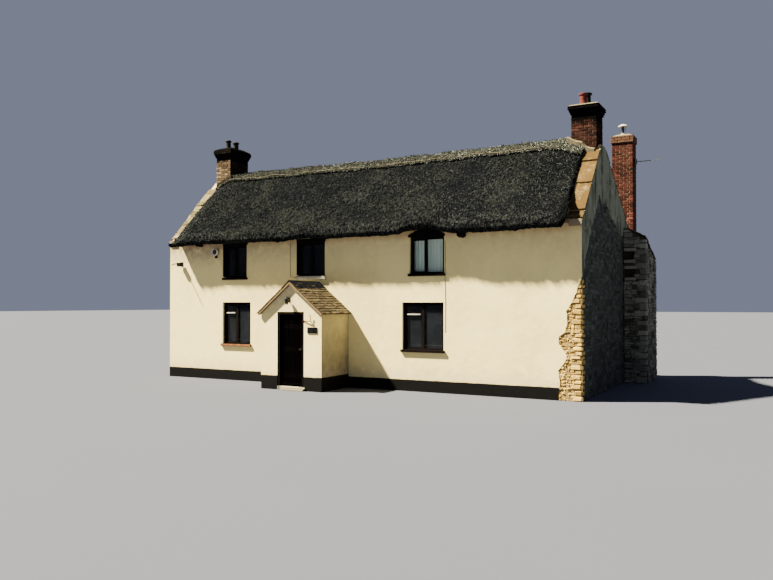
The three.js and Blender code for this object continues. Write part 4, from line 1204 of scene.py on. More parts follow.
class DressChimneys(Step):
    """Brickwork on the three stacks, with sooty corbels and the mortar at their feet"""

    bl_idname = "cottage.chimneys"
    bl_label = "Chimneys"

    def make(self):
        colours = settings("chimneys")
        mortar = mortar_finish("brick_mortar", shade(colours.mortar, 1.25))
        sooty_and_shaded_mortar = self.sooty_and_shaded_mortar()
        stacks = (
            ("right", colours.red, colours.soot, 6.93, 7.16, CORBELLED, sooty_and_shaded_mortar, 41),
            ("left", colours.buff, colours.soot, 7.02, 7.15, CORBELLED, sooty_and_shaded_mortar, 42),
            ("rear", REAR_BRICK, REAR_CROWN, 7.29, 7.34, REAR_OVERSAIL, mortar, 43),
        )
        for side, tint, crown, crown_from, crown_to, oversail, bed, seed in stacks:
            node = f"{side}_chimney_stack"
            dress(shrunk_copy(node, f"{side}_stack_mortar", 0.007), bed, [node])
            bricks = Gathering(unit_block(0.07), seed)
            self.lay_stack(bricks, side, *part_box(node), oversail)
            finish = brick_finish(f"{side}_stack_brick", tint, crown, crown_from, crown_to, SIDE_SHADE[side])
            dress(bricks.build(f"{side}_stack_bricks"), finish)
        self.lay_fillets()

    def sooty_and_shaded_mortar(self):
        """Mortar that turns to soot at the top, with painted shade on the sides that face along the house."""
        colours = settings("chimneys")
        bed = Finish("sooty_and_shaded_brick_mortar", 0.01)
        fine = bed.noise(40.0, 3.0, 0.7)
        tint = bed.fade(shade(colours.mortar, 0.25), shade(colours.mortar, 0.8), fine, 0.4, 0.6)
        soot = bed.between(bed.coordinate(2) + fine * 0.1, 6.98, 7.16)
        # Painted shade on the sides that face along the house
        tint = bed.mix(tint, colours.soot, facing_ends(bed) * 0.8)
        return bed.done(bed.mix(tint, colours.soot, soot), 0.95, fine, 0.005, 0.8)

    def lay_stack(self, bricks, side, low, high, oversail):
        """Courses from the foot up: plain ones, then stepped corbels, or one wider band at the rear."""
        colours = settings("chimneys")
        middle = ((low.x + high.x) / 2, (low.y + high.y) / 2)
        half = ((high.x - low.x) / 2 - oversail, (high.y - low.y) / 2 - oversail)
        corbel = high.z - CORBEL_DROPS[side]
        z = corbel - colours.course * math.floor((corbel - low.z) / colours.course)
        index = 0
        while z < high.z - 0.03:
            reach, course = 0.0, colours.course
            if z + 0.02 >= corbel:
                if side == "rear":
                    reach = REAR_OVERSAIL
                else:
                    reach = min(CORBEL_STEPS, int((z - corbel + 0.02) / CORBEL_COURSE) + 1) * CORBEL_STEP
                    course = CORBEL_COURSE
            course = min(course, high.z - z)
            if course > 0.025:
                self.lay_course(bricks, middle, half, reach, z, course, index)
            z += course
            index += 1

    def lay_course(self, bricks, middle, half, reach, z, course, index):
        """Stretchers round the four sides; by turns, the long or the short sides run to the corners."""
        colours = settings("chimneys")
        joint = colours.joint / 2
        depth = colours.header - colours.joint
        x, y = middle
        a, b = half[0] + reach, half[1] + reach
        even = index % 2 == 0
        sides = (
            (Face((x - a, y - b, z), (1, 0, 0), UP, AHEAD), 2 * a, even),
            (Face((x + a, y - b, z), (0, 1, 0), UP, (1, 0, 0)), 2 * b, not even),
            (Face((x + a, y + b, z), (-1, 0, 0), UP, (0, 1, 0)), 2 * a, even),
            (Face((x - a, y + b, z), AHEAD, UP, (-1, 0, 0)), 2 * b, not even),
        )
        for face, length, full in sides:
            start = 0.0 if full else depth + colours.joint
            end = length - start
            for at, run in runs_along(start, end, lambda: colours.stretcher, 0.06, 0.02):
                proud = bricks.draw.uniform(-0.003, 0.0)
                left = at + (0 if at == start and full else joint)
                right = at + run - (0 if at + run >= end - 0.001 and full else joint)
                bricks.lay(face, rectangle(left, right, joint, course - joint), -depth, proud, 0.0016)

    def lay_fillets(self):
        """Wedges of mortar that close the thatch and the slates against the front of each stack."""
        sandy = mortar_finish("fillet_mortar", (0.165, 0.140, 0.095))
        dull = mortar_finish("dull_fillet_mortar", (0.060, 0.052, 0.038))
        count = 9
        for side, outward, finish in (("right", 1, sandy), ("left", -1, dull)):
            under = Surfaces("thatch_ridge", "thatch_front", f"{side}_front_verge_slates")
            low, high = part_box(f"{side}_chimney_stack")
            face = low.y + CORBELLED
            inner, outer = (low.x + CORBELLED, high.x - CORBELLED)[::outward]
            tops = []
            for index in range(count + 1):
                x = inner - outward * 0.10 + (outer - inner + outward * 0.05) * index / count
                top = under.height(x, face - 0.045) + 0.080
                if side == "right":
                    top = max(top, float(np.interp(x, *zip(*RIGHT_FILLET))))
                tops.append((x, top))
            wedges = []
            for (x0, z0), (x1, z1) in zip(tops, tops[1:]):
                section = [(x0, face + back, z0 - drop)
                           for back, drop in ((0.01, 0.0), (-0.090, 0.045), (-0.070, 0.16), (0.01, 0.16))]
                wedges.append(plate(f"wedge_{side}_{len(wedges)}", section, (x1 - x0, 0, z1 - z0)))
            dress(joined(f"{side}_stack_fillet", wedges), finish)


# The pots: their stack, the middle that they stand round, the height of their mortar, and for each pot its
# place from that middle, radius, height, rim and clay
POTS = (
    ("right", (6.087, -0.585), 0.075, ((-0.055, -0.150, 0.098, 0.250, 0.012, "red_clay"),
                                       (-0.015, 0.130, 0.092, 0.320, 0.030, "black_clay"))),
    ("left", (-5.880, -0.615), 0.12, ((0.022, -0.235, 0.084, 0.260, 0.014, "black_clay"),
                                      (-0.045, 0.225, 0.092, 0.285, 0.018, "black_clay"))),
    ("rear", (6.215, 3.680), 0.075, ((-0.024, 0.020, 0.088, 0.135, 0.012, "buff_clay"),)),
)
COWL = (6.191, 3.700)

# The clays: their colour, their worn colour and their shine
CLAYS = {
    "red_clay": ((0.082, 0.019, 0.018), (0.035, 0.013, 0.013), 0.05),
    "black_clay": ((0.006, 0.0055, 0.006), (0.022, 0.015, 0.013), 0.1),
    "buff_clay": ((0.30, 0.27, 0.22), (0.10, 0.09, 0.07), 0.3),
}


class DressPots(Step):
    """Turned pots in beds of mortar, and the cowl on the rear stack"""

    bl_idname = "cottage.pots"
    bl_label = "Chimney pots"

    def make(self):
        clays = {name: plain_finish(name, tint, 0.6, 0.0, wear, shine)
                 for name, (tint, wear, shine) in CLAYS.items()}
        bed = mortar_finish("pot_bed_mortar", (0.15, 0.135, 0.090))
        sooty = mortar_finish("sooty_pot_bed_mortar", (0.0020, 0.0020, 0.0026))
        for side, (x, y), rise, pots in POTS:
            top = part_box(f"{side}_chimney_stack")[1].z
            self.flaunch(side, top, rise, sooty if side == "left" else bed)
            for index, (dx, dy, radius, height, rim, clay) in enumerate(pots):
                profile = self.profile(radius, height + 0.04, rim) if side != "rear" else self.stub(radius)
                pot = turned(f"{side}_pot_{index + 1}", profile, (x + dx, y + dy, top + 0.06))
                dress(pot, clays[clay])
        self.cowl(*COWL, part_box("rear_chimney_stack")[1].z + 0.235)

    def profile(self, radius, height, rim):
        """A pot's foot, tapering barrel, rolled rim and bore."""
        bore = radius - 0.022
        return [
            (bore, 0.0), (radius * 1.10, 0.0), (radius * 1.08, 0.02), (radius, 0.045),
            (radius * 0.95, height * 0.5), (radius * 0.93, height - 0.065),
            (radius + rim * 0.4, height - 0.055), (radius + rim, height - 0.042),
            (radius + rim, height - 0.010), (radius + rim * 0.5, height), (bore, height),
        ]

    def stub(self, radius):
        """The low collar under the cowl."""
        return [(0.040, 0.0), (radius, 0.0), (radius * 0.95, 0.035), (radius * 0.80, 0.065), (0.040, 0.065)]

    def flaunch(self, side, top, rise, bed):
        """A sloping bed of mortar under the pots, drawn in towards its top."""
        node = f"{side}_chimney_pots"
        low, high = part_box(node)
        roughness = 0.008
        if side == "rear":
            inset = Vector((0.04, 0.04, 0))
            low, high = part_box("rear_chimney_stack")
            low, high = low + inset, high - inset
            roughness = 0.006
        piece = block(f"{side}_flaunching", (low.x, low.y, top + 0.0005), (high.x, high.y, top + rise), 0.012)
        middle = (low + high) / 2
        with Editing(piece):
            bpy.ops.mesh.subdivide(number_cuts=5)
        for vertex in piece.data.vertices:
            draw_in = 1 - 0.5 * max(0.0, (vertex.co.z - top) / rise) ** 1.3
            vertex.co.x = middle.x + (vertex.co.x - middle.x) * draw_in
            vertex.co.y = middle.y + (vertex.co.y - middle.y) * draw_in
        roughen(piece, 0.06, roughness)
        smooth(piece, 50)
        dress(piece, bed, [node])

    def cowl(self, x, y, z):
        """A shallow metal dome on a stem and three stays."""
        dark = plain_finish("cowl_iron", (0.03, 0.028, 0.027), 0.6, 0.5)
        white = plain_finish("cowl_top", (0.42, 0.43, 0.42), 0.5, 0.0, (0.30, 0.29, 0.26))
        dome = [(0.0, 0.078), (0.05, 0.072), (0.10, 0.052), (0.145, 0.018), (0.150, 0.0), (0.140, 0.004),
                (0.09, 0.036), (0.0, 0.052)]
        dress(turned("cowl_dome", dome, (x, y, z + 0.105)), white)
        stays = []
        for index in range(3):
            angle = index * math.tau / 3
            foot = Vector((x + 0.072 * math.cos(angle), y + 0.072 * math.sin(angle), z - 0.03))
            stays.append(rod(f"stay_{index}", [foot, foot + UP * 0.17], 0.006))
        stays.append(turned("stem", [(0.0, 0.0), (0.036, 0.0), (0.036, 0.24), (0.0, 0.24)], (x, y, z - 0.12)))
        dress(joined("cowl_stays", stays), dark)


# The breast: its top's height by the gable, how fast that falls outwards and backwards, where its side ends,
# and how much that leans in
BREAST_TOP = 4.535
BREAST_FALL = 0.56
BREAST_BACK = 0.33
BREAST_SIDE_REAR = 3.70
BREAST_LEAN = -0.040 / 4.2

# Its two lights and the stones over and under them: left, right, foot and head
BREAST_LIGHTS = ((6.53, 6.78, 3.56, 3.80), (6.56, 6.81, 3.05, 3.29))
LIGHT_DRESSINGS = (
    (6.52, 6.86, 3.80, 3.90), (6.51, 6.83, 3.47, 3.56), (6.53, 6.86, 3.29, 3.38), (6.53, 6.84, 2.96, 3.05)
)


class DressBreast(Step):
    """Rubble and slates on the stone breast behind the right-hand gable"""

    bl_idname = "cottage.breast"
    bl_label = "Stone breast"

    def make(self):
        walls = settings("walls")
        core = shrunk_copy("stone_breast", "breast_mortar", 0.020)
        dress(core, mortar_finish("breast_bed_mortar", shade(walls.mortar, 0.7)), ["stone_breast"])
        low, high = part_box("stone_breast")
        edge, foot_x, front_y, rear_y = RIGHT + 0.06, high.x, low.y, high.y
        side_y = BREAST_SIDE_REAR

        def top(x, y):
            return BREAST_TOP - BREAST_FALL * (x - RIGHT) - BREAST_BACK * (y - front_y)

        def clear_of_lights(u, z):
            x = RIGHT + u
            return all(
                not (x0 - 0.06 < x < x1 + 0.06 and z0 - 0.13 < z < z1 + 0.13)
                for x0, x1, z0, z1 in BREAST_LIGHTS
            )

        front = Face((RIGHT, front_y, 0), (1, 0, 0), UP, AHEAD)
        out = Vector((1, 0, -BREAST_LEAN)).normalized()
        side = Face((foot_x, front_y, 0), (0, 1, 0), Vector((BREAST_LEAN, 0, 1)).normalized(), out)
        back = Face((foot_x, side_y, 0), (-1, 0, 0), UP, (0, 1, 0))
        jamb = Face((edge, side_y, 0), (0, 1, 0), UP, (1, 0, 0))
        rear = Face((edge, rear_y, 0), (-1, 0, 0), UP, (0, 1, 0))
        left = Face((low.x, rear_y, 0), AHEAD, UP, (-1, 0, 0))
        # Each face: its span, the head of its courses, heights and lengths of stones, where, and below what
        faces = (
            (front, (0.0, foot_x - RIGHT - 0.20), 4.5, (0.06, 0.15), (0.10, 0.30),
             clear_of_lights, lambda u: top(RIGHT + u, front_y) - 0.02),
            (side, (0.20, side_y - front_y - 0.02), 4.3, (0.06, 0.16), (0.12, 0.36),
             anywhere, lambda u: top(foot_x - 0.04, front_y + u) - 0.02),
            (back, (0.0, foot_x - edge), 4.2, (0.06, 0.16), (0.12, 0.34),
             anywhere, lambda u: top(foot_x - u, side_y) - 0.02),
            (jamb, (0.0, rear_y - side_y), 4.25, (0.07, 0.16), (0.12, 0.34), anywhere, lambda u: 4.24),
            (rear, (0.0, edge - low.x), 4.25, (0.07, 0.17), (0.12, 0.38), anywhere, lambda u: 4.25),
            (left, (0.0, rear_y - REAR - 0.01), 4.25, (0.07, 0.17), (0.12, 0.38), anywhere, lambda u: 4.25),
        )
        stones = Gathering(unit_block(0.10), 51)
        for face, span, head, rises, runs, inside, ceiling in faces:
            rubble(stones, face, span, (0.0, head), rises, runs, inside, ceiling)
        levels = (0.0, top(foot_x, front_y) - 0.03)
        corner_stones(stones, (foot_x - 0.020, front_y, 0), levels, (0.24, 0.36), (0.18, 0.24), (0.12, 0.22))
        dark = stone_finish("breast_rubble_stone", (0.125, 0.130, 0.108), 0.9, (0.33, 0.33, 0.27))
        dress(stones.build("breast_rubble"), dark)
        self.dressings(front_y)
        self.slates()

    def dressings(self, front_y):
        """The stones over and under each light."""
        pale = stone_finish("light_dressings_stone", (0.19, 0.185, 0.150), 0.3)
        stones = Gathering(unit_block(0.05), 52)
        face = Face((0, front_y, 0), (1, 0, 0), UP, AHEAD)
        for left, right, foot, head in LIGHT_DRESSINGS:
            stones.lay(face, rectangle(left, right, foot + 0.003, head - 0.003), -0.08, 0.0, 0.002, 0.6)
        dress(stones.build("light_dressings"), pale)

    def slates(self):
        """Four courses of slates up the breast's sloping top, each lapping over the next lower one."""
        low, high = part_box("breast_slates")
        slates = Gathering(unit_block(0.12, 2), 53)
        out = Vector((BREAST_FALL, BREAST_BACK, 1)).normalized()
        along = Vector((0, 1, -BREAST_BACK)).normalized()
        up = out.cross(along).normalized()
        up = up if up.x < 0 else -up
        courses = 4
        width = (high.x - low.x) * math.hypot(1, BREAST_FALL)
        length = (high.y - low.y) * math.hypot(1, BREAST_BACK) - 0.01
        step = width / courses
        foot_z = BREAST_TOP - BREAST_FALL * (high.x - RIGHT) + BREAST_BACK * 0.04 + 0.004
        face = Face((high.x, low.y, foot_z), along, up, out)
        for course in range(courses):
            foot, head = course * step, min((course + 1.25) * step, width)
            lapped = (course % 2) * 0.004
            for at, run in runs_along(0.0, length, lambda: slates.draw.uniform(0.20, 0.42), 0.10):
                shift = slates.draw.uniform(0, 0.035)
                left, right = at + 0.004, at + run - 0.004
                corners = [(left, foot + shift), (right, foot + shift * 0.6), (right, head), (left, head)]
                slates.lay(face, corners, 0.004 + lapped, 0.030 + lapped, 0.003)
        stone = settings("roof_stone")
        finish = stone_finish("breast_slate_stone", (0.050, 0.050, 0.042), 0.6, shade(stone.lichen, 1.1))
        dress(slates.build("breast_slates_laid"), finish, ["breast_slates"])


class DressWindows(Step):
    """Window timber, glass, stays and inner boards"""

    bl_idname = "cottage.windows"
    bl_label = "Windows"

    def make(self):
        joinery = settings("joinery")
        timber = timber_finish("window_timber", joinery.timber)
        # The sill's paler timber is painted sunlight
        worn = timber_finish("sunlit_sill_timber", joinery.sill, 0.6)
        glass = glass_finish("window_glass", (0.007, 0.0085, 0.012), 0.70)
        clear = glass_finish("curtained_glass", (0.05, 0.09, 0.08), 0.08)
        for name in WINDOWS:
            paint(f"{name}_window_frame", timber)
            paint(f"{name}_window_glass", clear if name == "upper_right" else glass)
        self.stays()
        self.sill_nosing(worn)
        self.painted_shade_arch(timber)
        self.painted_shade_boards(timber)
        self.rendered_sill()

    def stays(self):
        """The pale stay bars under the top lights, and the pale inner boards behind the sills."""
        white = plain_finish("white_paint", (0.50, 0.48, 0.42), 0.45)
        bars = []
        boards = []
        for name in ("lower_left", "lower_right"):
            low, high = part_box(f"{name}_window_glass")
            transom = low.z + (high.z - low.z) * 0.775
            half = (high.x - low.x) / 2
            bars.append(block(f"{name}_stay", (low.x + 0.07, low.y - 0.052, transom - 0.012),
                              (low.x + half - 0.09, low.y - 0.036, transom + 0.012), 0.003))
            boards.append(block(f"{name}_board", (low.x - 0.02, high.y + 0.05, low.z + 0.070),
                                (high.x + 0.02, high.y + 0.30, low.z + 0.100), 0.006))
        dress(joined("casement_stays", bars), white)
        dress(joined("inner_window_boards", boards), white)

    def sill_nosing(self, worn):
        """The oak nosing on the front of the lower left sill, in a paler timber that paints the sunlight on
        it.
        """
        low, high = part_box("lower_left_window_frame")
        piece = block("lower_left_sill_nosing", (low.x, low.y - 0.004, low.z + 0.004),
                      (high.x, low.y + 0.030, low.z + 0.060), 0.006)
        dress(piece, worn)

    def painted_shade_arch(self, timber):
        """A dark arch of painted shade between the head of the upper right window and the lifted thatch."""
        low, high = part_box("upper_right_window_glass")
        left, right, foot = low.x - 0.10, high.x + 0.08, high.z + 0.045
        y = FRONT - 0.014
        points = [(left, y, foot), (right, y, foot)]
        for index in range(13):
            share = index / 12
            x = right + (left - right) * share
            points.append((x, y, foot + 0.05 + 0.17 * math.sin(share * math.pi) ** 0.8))
        dress(plate("painted_shade_arch", points, (0, 0.013, 0), 0.003), timber)

    def painted_shade_boards(self, timber):
        """Dark boards of painted shade between two upper windows and the thatch, and lining their left side.
        """
        parts = []
        for name, rise in (("upper_left", 0.085), ("upper_middle", 0.095)):
            low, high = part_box(f"{name}_window_frame")
            left, right = low.x + SILL_HORN, high.x - SILL_HORN
            foot, front, pane = low.z + 0.102, FRONT - 0.010, FRONT + WINDOW_REVEAL - 0.0006
            boards = (
                ("head", (left - 0.045, FRONT - 0.014, high.z + 0.0004),
                 (right + 0.035, FRONT - 0.0005, high.z + rise), 0.004),
                ("lining", (left - 0.040, front, foot), (left - 0.0004, FRONT - 0.0005, high.z), 0.003),
                ("cheek", (left + 0.0001, front, foot), (left + 0.010, pane, high.z - 0.0006), 0.002),
                ("soffit", (left + 0.0104, front, high.z - 0.010),
                 (right - 0.0004, pane, high.z - 0.0006), 0.002),
            )
            parts += [block(f"{name}_{kind}", *corners, bevel) for kind, *corners, bevel in boards]
        dress(joined("upper_window_shade_boards", parts), timber)

    def rendered_sill(self):
        """The pale rendered sill under the upper middle window."""
        low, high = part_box("upper_middle_window_frame")
        piece = block("upper_middle_sill_coat", (low.x - 0.01, low.y - 0.012, low.z - 0.035),
                      (high.x + 0.01, FRONT - 0.0005, low.z + 0.062), 0.012, 2)
        dress(piece, mortar_finish("sill_render", (0.50, 0.46, 0.35)))


class DressCurtain(Step):
    """The pleated cloth behind the upper right window"""

    bl_idname = "cottage.curtain"
    bl_label = "Curtain"

    def make(self):
        joinery = settings("joinery")
        low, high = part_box("upper_right_curtain")
        width = high.x - low.x - 0.03
        drop = high.z - low.z - 0.02
        middle = (low.y + high.y) / 2
        deselect()
        bpy.ops.mesh.primitive_grid_add(x_subdivisions=180, y_subdivisions=18, size=1)
        cloth = named_active("upper_right_curtain_cloth")
        for vertex in cloth.data.vertices:
            u, v = vertex.co.x + 0.5, vertex.co.y + 0.5
            phase = math.tau * u * width / joinery.pleat
            gather = 0.013 + 0.004 * math.sin(5.0 * u + 1.0)
            sway = 0.25 * math.sin(3.1 * v + 9.0 * u)
            vertex.co = (
                low.x + 0.015 + u * width,
                middle + gather * math.sin(phase + sway) * (0.75 + 0.25 * (1 - v)),
                low.z + 0.01 + v * drop,
            )
        flat = self.row_length(cloth)
        modify(cloth, "SOLIDIFY", thickness=0.0012, offset=0.0)
        smooth(cloth, 60)
        dress(cloth, self.weave(joinery.curtain), ["upper_right_curtain"])

    def row_length(self, cloth):
        """The cloth's width laid flat: the mean length of its rows."""
        rows = {}
        for vertex in cloth.data.vertices:
            rows.setdefault(round(vertex.co.z, 4), []).append(vertex.co.copy())
        lengths = []
        for row in rows.values():
            row.sort(key=lambda spot: spot.x)
            lengths.append(sum((b - a).length for a, b in zip(row, row[1:])))
        return sum(lengths) / len(lengths)

    def weave(self, tint):
        """Threads that cross, with broad fades."""
        cloth = Finish("curtain_cloth", 0.1)
        across = cloth.noise(900.0, 1.0, 0.5, (1.0, 0.2, 0.05))
        down = cloth.noise(900.0, 1.0, 0.5, (0.05, 0.2, 1.0))
        broad = cloth.noise(4.0, 2.0)
        made = cloth.fade(shade(tint, 0.88), shade(tint, 1.1), across + down, 0.8, 1.2)
        made = cloth.fade(made, shade(tint, 0.8), broad, 0.5, 0.7, 0.3)
        cloth.shader.inputs["Sheen Weight"].default_value = 0.2
        return cloth.done(made, 0.9, across + down, 0.0006, 0.5)


# The porch roof: the height of its ridge, its fall for each metre outwards, and how thick its boards are
PORCH_APEX_Z = 2.851
PORCH_PITCH = 0.79 / 0.975
PORCH_BOARD = 0.016

# The slabs at the porch door: left, right, how far they stand out, foot and head
SLABS = ((-1.14, -0.37, 0.070, 0.046, 0.088), (-1.10, -0.41, 0.085, 0.001, 0.042))


class DressPorch(Step):
    """Stone slates, boards and lead on the porch roof, and the step at its door"""

    bl_idname = "cottage.porch"
    bl_label = "Porch roof"

    def make(self):
        stone = settings("roof_stone")
        finish = stone_finish("porch_slate_stone", stone.porch, 0.75, shade(stone.lichen, 0.75))
        boards = timber_finish("porch_boards", (0.10, 0.055, 0.03), 0.7)
        bedding = mortar_finish("porch_verge_mortar", (0.175, 0.130, 0.075))
        for side, sign in (("left", -1), ("right", 1)):
            node = f"porch_roof_{side}"
            low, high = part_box(node)
            ridge_x, eaves_x = (high.x, low.x) if sign < 0 else (low.x, high.x)
            down = Vector((sign, 0, -PORCH_PITCH)).normalized()
            out = Vector((sign * PORCH_PITCH, 0, 1)).normalized()
            length = abs(eaves_x - ridge_x) * math.hypot(1, PORCH_PITCH)
            depth = high.y - low.y
            apex = Vector((ridge_x, low.y, PORCH_APEX_Z))
            slates = Gathering(unit_block(0.12, 1), 60 + sign)
            self.lay(slates, apex, down, out, length, depth)
            dress(slates.build(f"{node}_slates"), finish, [node])
            section = [(0, 0), (length - 0.012, 0), (length - 0.012, PORCH_BOARD), (0, PORCH_BOARD)]
            points = [apex + Vector((0, 0.012, 0)) + down * at + out * rise for at, rise in section]
            dress(plate(f"{node}_boards", points, (0, depth - 0.014, 0)), boards)
            section = [(0, -0.0005), (length - 0.020, -0.0005), (length - 0.020, -0.040), (0.033, -0.040)]
            points = [apex + Vector((0, 0.006, 0)) + down * at + out * rise for at, rise in section]
            verge = plate(f"{node}_verge_bed", points, (0, PORCH_FRONT - low.y - 0.0065, 0), 0.003)
            dress(verge, bedding)
        self.lead()
        self.step()

    def lay(self, slates, apex, down, out, length, depth):
        """Courses of slates from the eaves up, each tail lifted by the course that it laps over."""
        stone = settings("roof_stone")
        gauge = length / stone.porch_courses
        lifted = 0.018

        def draw_width():
            return slates.draw.uniform(0.7, 1.35) * stone.porch_slate

        for course in range(stone.porch_courses):
            tail = length - course * gauge
            head = max(0.0, tail - gauge * 1.7)
            start = apex + down * tail + out * (PORCH_BOARD + lifted)
            up = (apex + down * head + out * (PORCH_BOARD + 0.001) - start).normalized()
            face = Face(start, (0, 1, 0), up, out)
            for at, run in runs_along(0.0, depth, draw_width, 0.07, 0.01):
                slip = slates.draw.uniform(0.0, 0.012)
                turn = slates.draw.uniform(-0.004, 0.004)
                corners = [(at + 0.002, slip), (at + run - 0.002, slip + turn),
                           (at + run - 0.003, tail - head), (at + 0.003, tail - head)]
                slates.lay(face, corners, 0.0, slates.draw.uniform(0.011, 0.016), 0.0016)

    def lead(self):
        """A lead flashing dressed over the ridge, with a soft roll along it."""
        low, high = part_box("porch_ridge_lead")
        leg = (high.x - low.x) / 2
        middle = (high.x + low.x) / 2
        outline = []
        for share in (-1.0, -0.75, -0.5, -0.25, -0.10, -0.04, 0.0, 0.04, 0.10, 0.25, 0.5, 0.75, 1.0):
            roll = 0.0 if abs(share) > 0.12 else -0.004
            outline.append((middle + leg * share, high.z - 0.012 - PORCH_PITCH * leg * abs(share) + roll))
        points = [(x, low.y, z) for x, z in outline]
        points += [(x, low.y, z + 0.007) for x, z in reversed(outline)]
        sheet = plate("porch_lead_flashing", points, (0, high.y - low.y - 0.001, 0))
        with Editing(sheet):
            for share in range(1, 10):
                y = low.y + (high.y - low.y) * share / 10
                bpy.ops.mesh.select_all(action="SELECT")
                bpy.ops.mesh.bisect(plane_co=(0, y, 0), plane_no=(0, 1, 0))
        roughen(sheet, 0.09, 0.006)
        smooth(sheet, 40)
        dress(sheet, lead_finish(), ["porch_ridge_lead"])

    def step(self):
        """Two pale slabs at the foot of the doorway."""
        pale = stone_finish("step_stone", (0.36, 0.31, 0.21), 0.2)
        slabs = []
        for left, right, before, foot, head in SLABS:
            low, high = (left, PORCH_FRONT - before, foot), (right, PORCH_FRONT - 0.001, head)
            slabs.append(block(f"slab_{len(slabs)}", low, high, 0.008, 2))
        dress(joined("door_step", slabs), pale)


# The door: heights of its ledges, straps, rows of nails and knob, and its boards
LEDGE_HEIGHTS = (0.30, 1.00, 1.60)
STRAP_HEIGHTS = (0.35, 1.65)
NAIL_HEIGHTS = (0.345, 0.405, 1.045, 1.105, 1.645, 1.705)
KNOB_HEIGHT = 1.08
DOOR_BOARDS = 6
BOARD_THICKNESS = 0.026


class DressDoor(Step):
    """The boarded leaf, its ledges, straps, nails and knob, which all turn with the door"""

    bl_idname = "cottage.door"
    bl_label = "Front door"

    def make(self):
        joinery = settings("joinery")
        timber = timber_finish("door_timber", (0.0008, 0.0006, 0.0007), 0.8, 0.0)
        iron = plain_finish("door_iron", (0.006, 0.0055, 0.0055), 0.6, 0.2, (0.020, 0.009, 0.006), 0.1)
        paint("door_frame", timber_finish("door_frame_timber", shade(joinery.timber, 0.5)))
        low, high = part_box("front_door")
        left, right = HINGE.x + 0.006, high.x
        foot, top = low.z, high.z
        inner = HINGE.y - 0.018
        outer = inner - 0.045
        step = (right - left) / DOOR_BOARDS
        boards = []
        for index in range(DOOR_BOARDS):
            x = left + step * index
            boards.append(block(f"board_{index}", (x + 0.0008, outer, foot),
                                (x + step - 0.0008, outer + BOARD_THICKNESS, top), 0.0045))
        dress(joined("front_door_boards", boards), timber, ["front_door"], "door")
        back = outer + BOARD_THICKNESS + 0.0002
        ledges = [block(f"ledge_{index}", (left + 0.03, back, z), (right - 0.03, inner, z + 0.15), 0.008)
                  for index, z in enumerate(LEDGE_HEIGHTS)]
        dress(joined("front_door_ledges", ledges), timber, (), "door")
        self.straps(iron, left, inner)
        self.nails(iron, left, step, outer)
        profile = [(0.0, 0.0), (0.026, 0.0), (0.026, 0.005), (0.010, 0.010), (0.009, 0.030), (0.020, 0.037),
                   (0.026, 0.048), (0.021, 0.058), (0.0, 0.062)]
        brass = plain_finish("worn_brass", (0.020, 0.014, 0.008), 0.6, 0.6, (0.008, 0.006, 0.004), 0.1)
        knob = turned("front_door_knob", profile, (right - 0.075, outer, KNOB_HEIGHT), AHEAD)
        dress(knob, brass, (), "door")
        section = ((0.0, 0.025), (-0.030, 0.025), (-0.028, 0.045), (0.0, 0.095))
        points = [(left + 0.015, outer + proud, foot + rise) for proud, rise in section]
        bar = plate("front_door_weather_bar", points, (right - left - 0.040, 0, 0), 0.002)
        dress(bar, timber, (), "door")

    def straps(self, iron, left, inner):
        """Straps on the inner face that end in an eye round each pin."""
        parts = []
        bore, rim, width = 0.0072, 0.013, 0.0447
        for height in STRAP_HEIGHTS:
            foot = height + 0.0003
            eye = [(bore, 0.0), (0.012, 0.0), (rim, 0.004), (rim, 0.041), (0.012, width), (bore, width)]
            parts.append(turned(f"eye_{height}", eye, (HINGE.x, HINGE.y, foot), UP, 16))
            outline = (
                (HINGE.x + 0.006, 0.0003), (left + 0.40, 0.010), (left + 0.42, 0.0225), (left + 0.40, 0.035),
                (HINGE.x + 0.006, width),
            )
            points = [(x, inner + 0.0005, height + rise) for x, rise in outline]
            parts.append(plate(f"strap_{height}", points, (0, 0.006, 0), 0.001))
            parts.append(block(f"neck_{height}", (HINGE.x + 0.006, inner + 0.002, foot),
                               (HINGE.x + 0.014, HINGE.y + 0.004, height + width), 0.001))
        dress(joined("front_door_straps", parts), iron, (), "door")

    def nails(self, iron, left, step, outer):
        """Square-headed nails in rows where the ledges are."""
        heads = Gathering(unit_block(0.28), 71)
        face = Face((0, outer, 0), (1, 0, 0), UP, AHEAD)
        half = 0.007
        for board in range(DOOR_BOARDS):
            for z in NAIL_HEIGHTS:
                for share in (0.25, 0.75):
                    x = left + step * (board + share)
                    heads.lay(face, rectangle(x - half, x + half, z - half, z + half), -0.004, 0.005, 0.0004)
        dress(heads.build("front_door_nails"), iron, (), "door")


# Places of the fittings: those of the lantern and the bracket count their distance before the porch's front
LANTERN = (-0.895, 0.1155, 2.390)
FLOOD_LAMP = (-4.570, 3.850)
BRACKET_ARM = ((-0.437, 0.004, 1.83), (-0.300, 0.030, 1.826), (-0.190, 0.045, 1.83), (-0.176, 0.045, 1.845))
BRACKET_UPRIGHT = (
    (-0.190, 0.004, 1.80), (-0.190, 0.040, 1.83), (-0.190, 0.040, 1.95), (-0.196, 0.052, 1.985),
    (-0.210, 0.062, 1.975),
)
CABLES = (
    ((-1.83, 4.02), (-1.835, 3.60), (-1.825, 3.30), (-1.82, 3.06), (-1.62, 3.02)),
    ((3.02, 3.90), (3.025, 3.40), (3.015, 2.90), (3.025, 2.30), (3.02, 1.55)),
)
BEAM_ENDS = ((3.51, 4.025, 0.082), (-5.17, 4.070, 0.040))


def in_front_of_porch(spots):
    """Points from their place along the porch's front, their distance before it and their height."""
    return [(x, PORCH_FRONT - before, z) for x, before, z in spots]


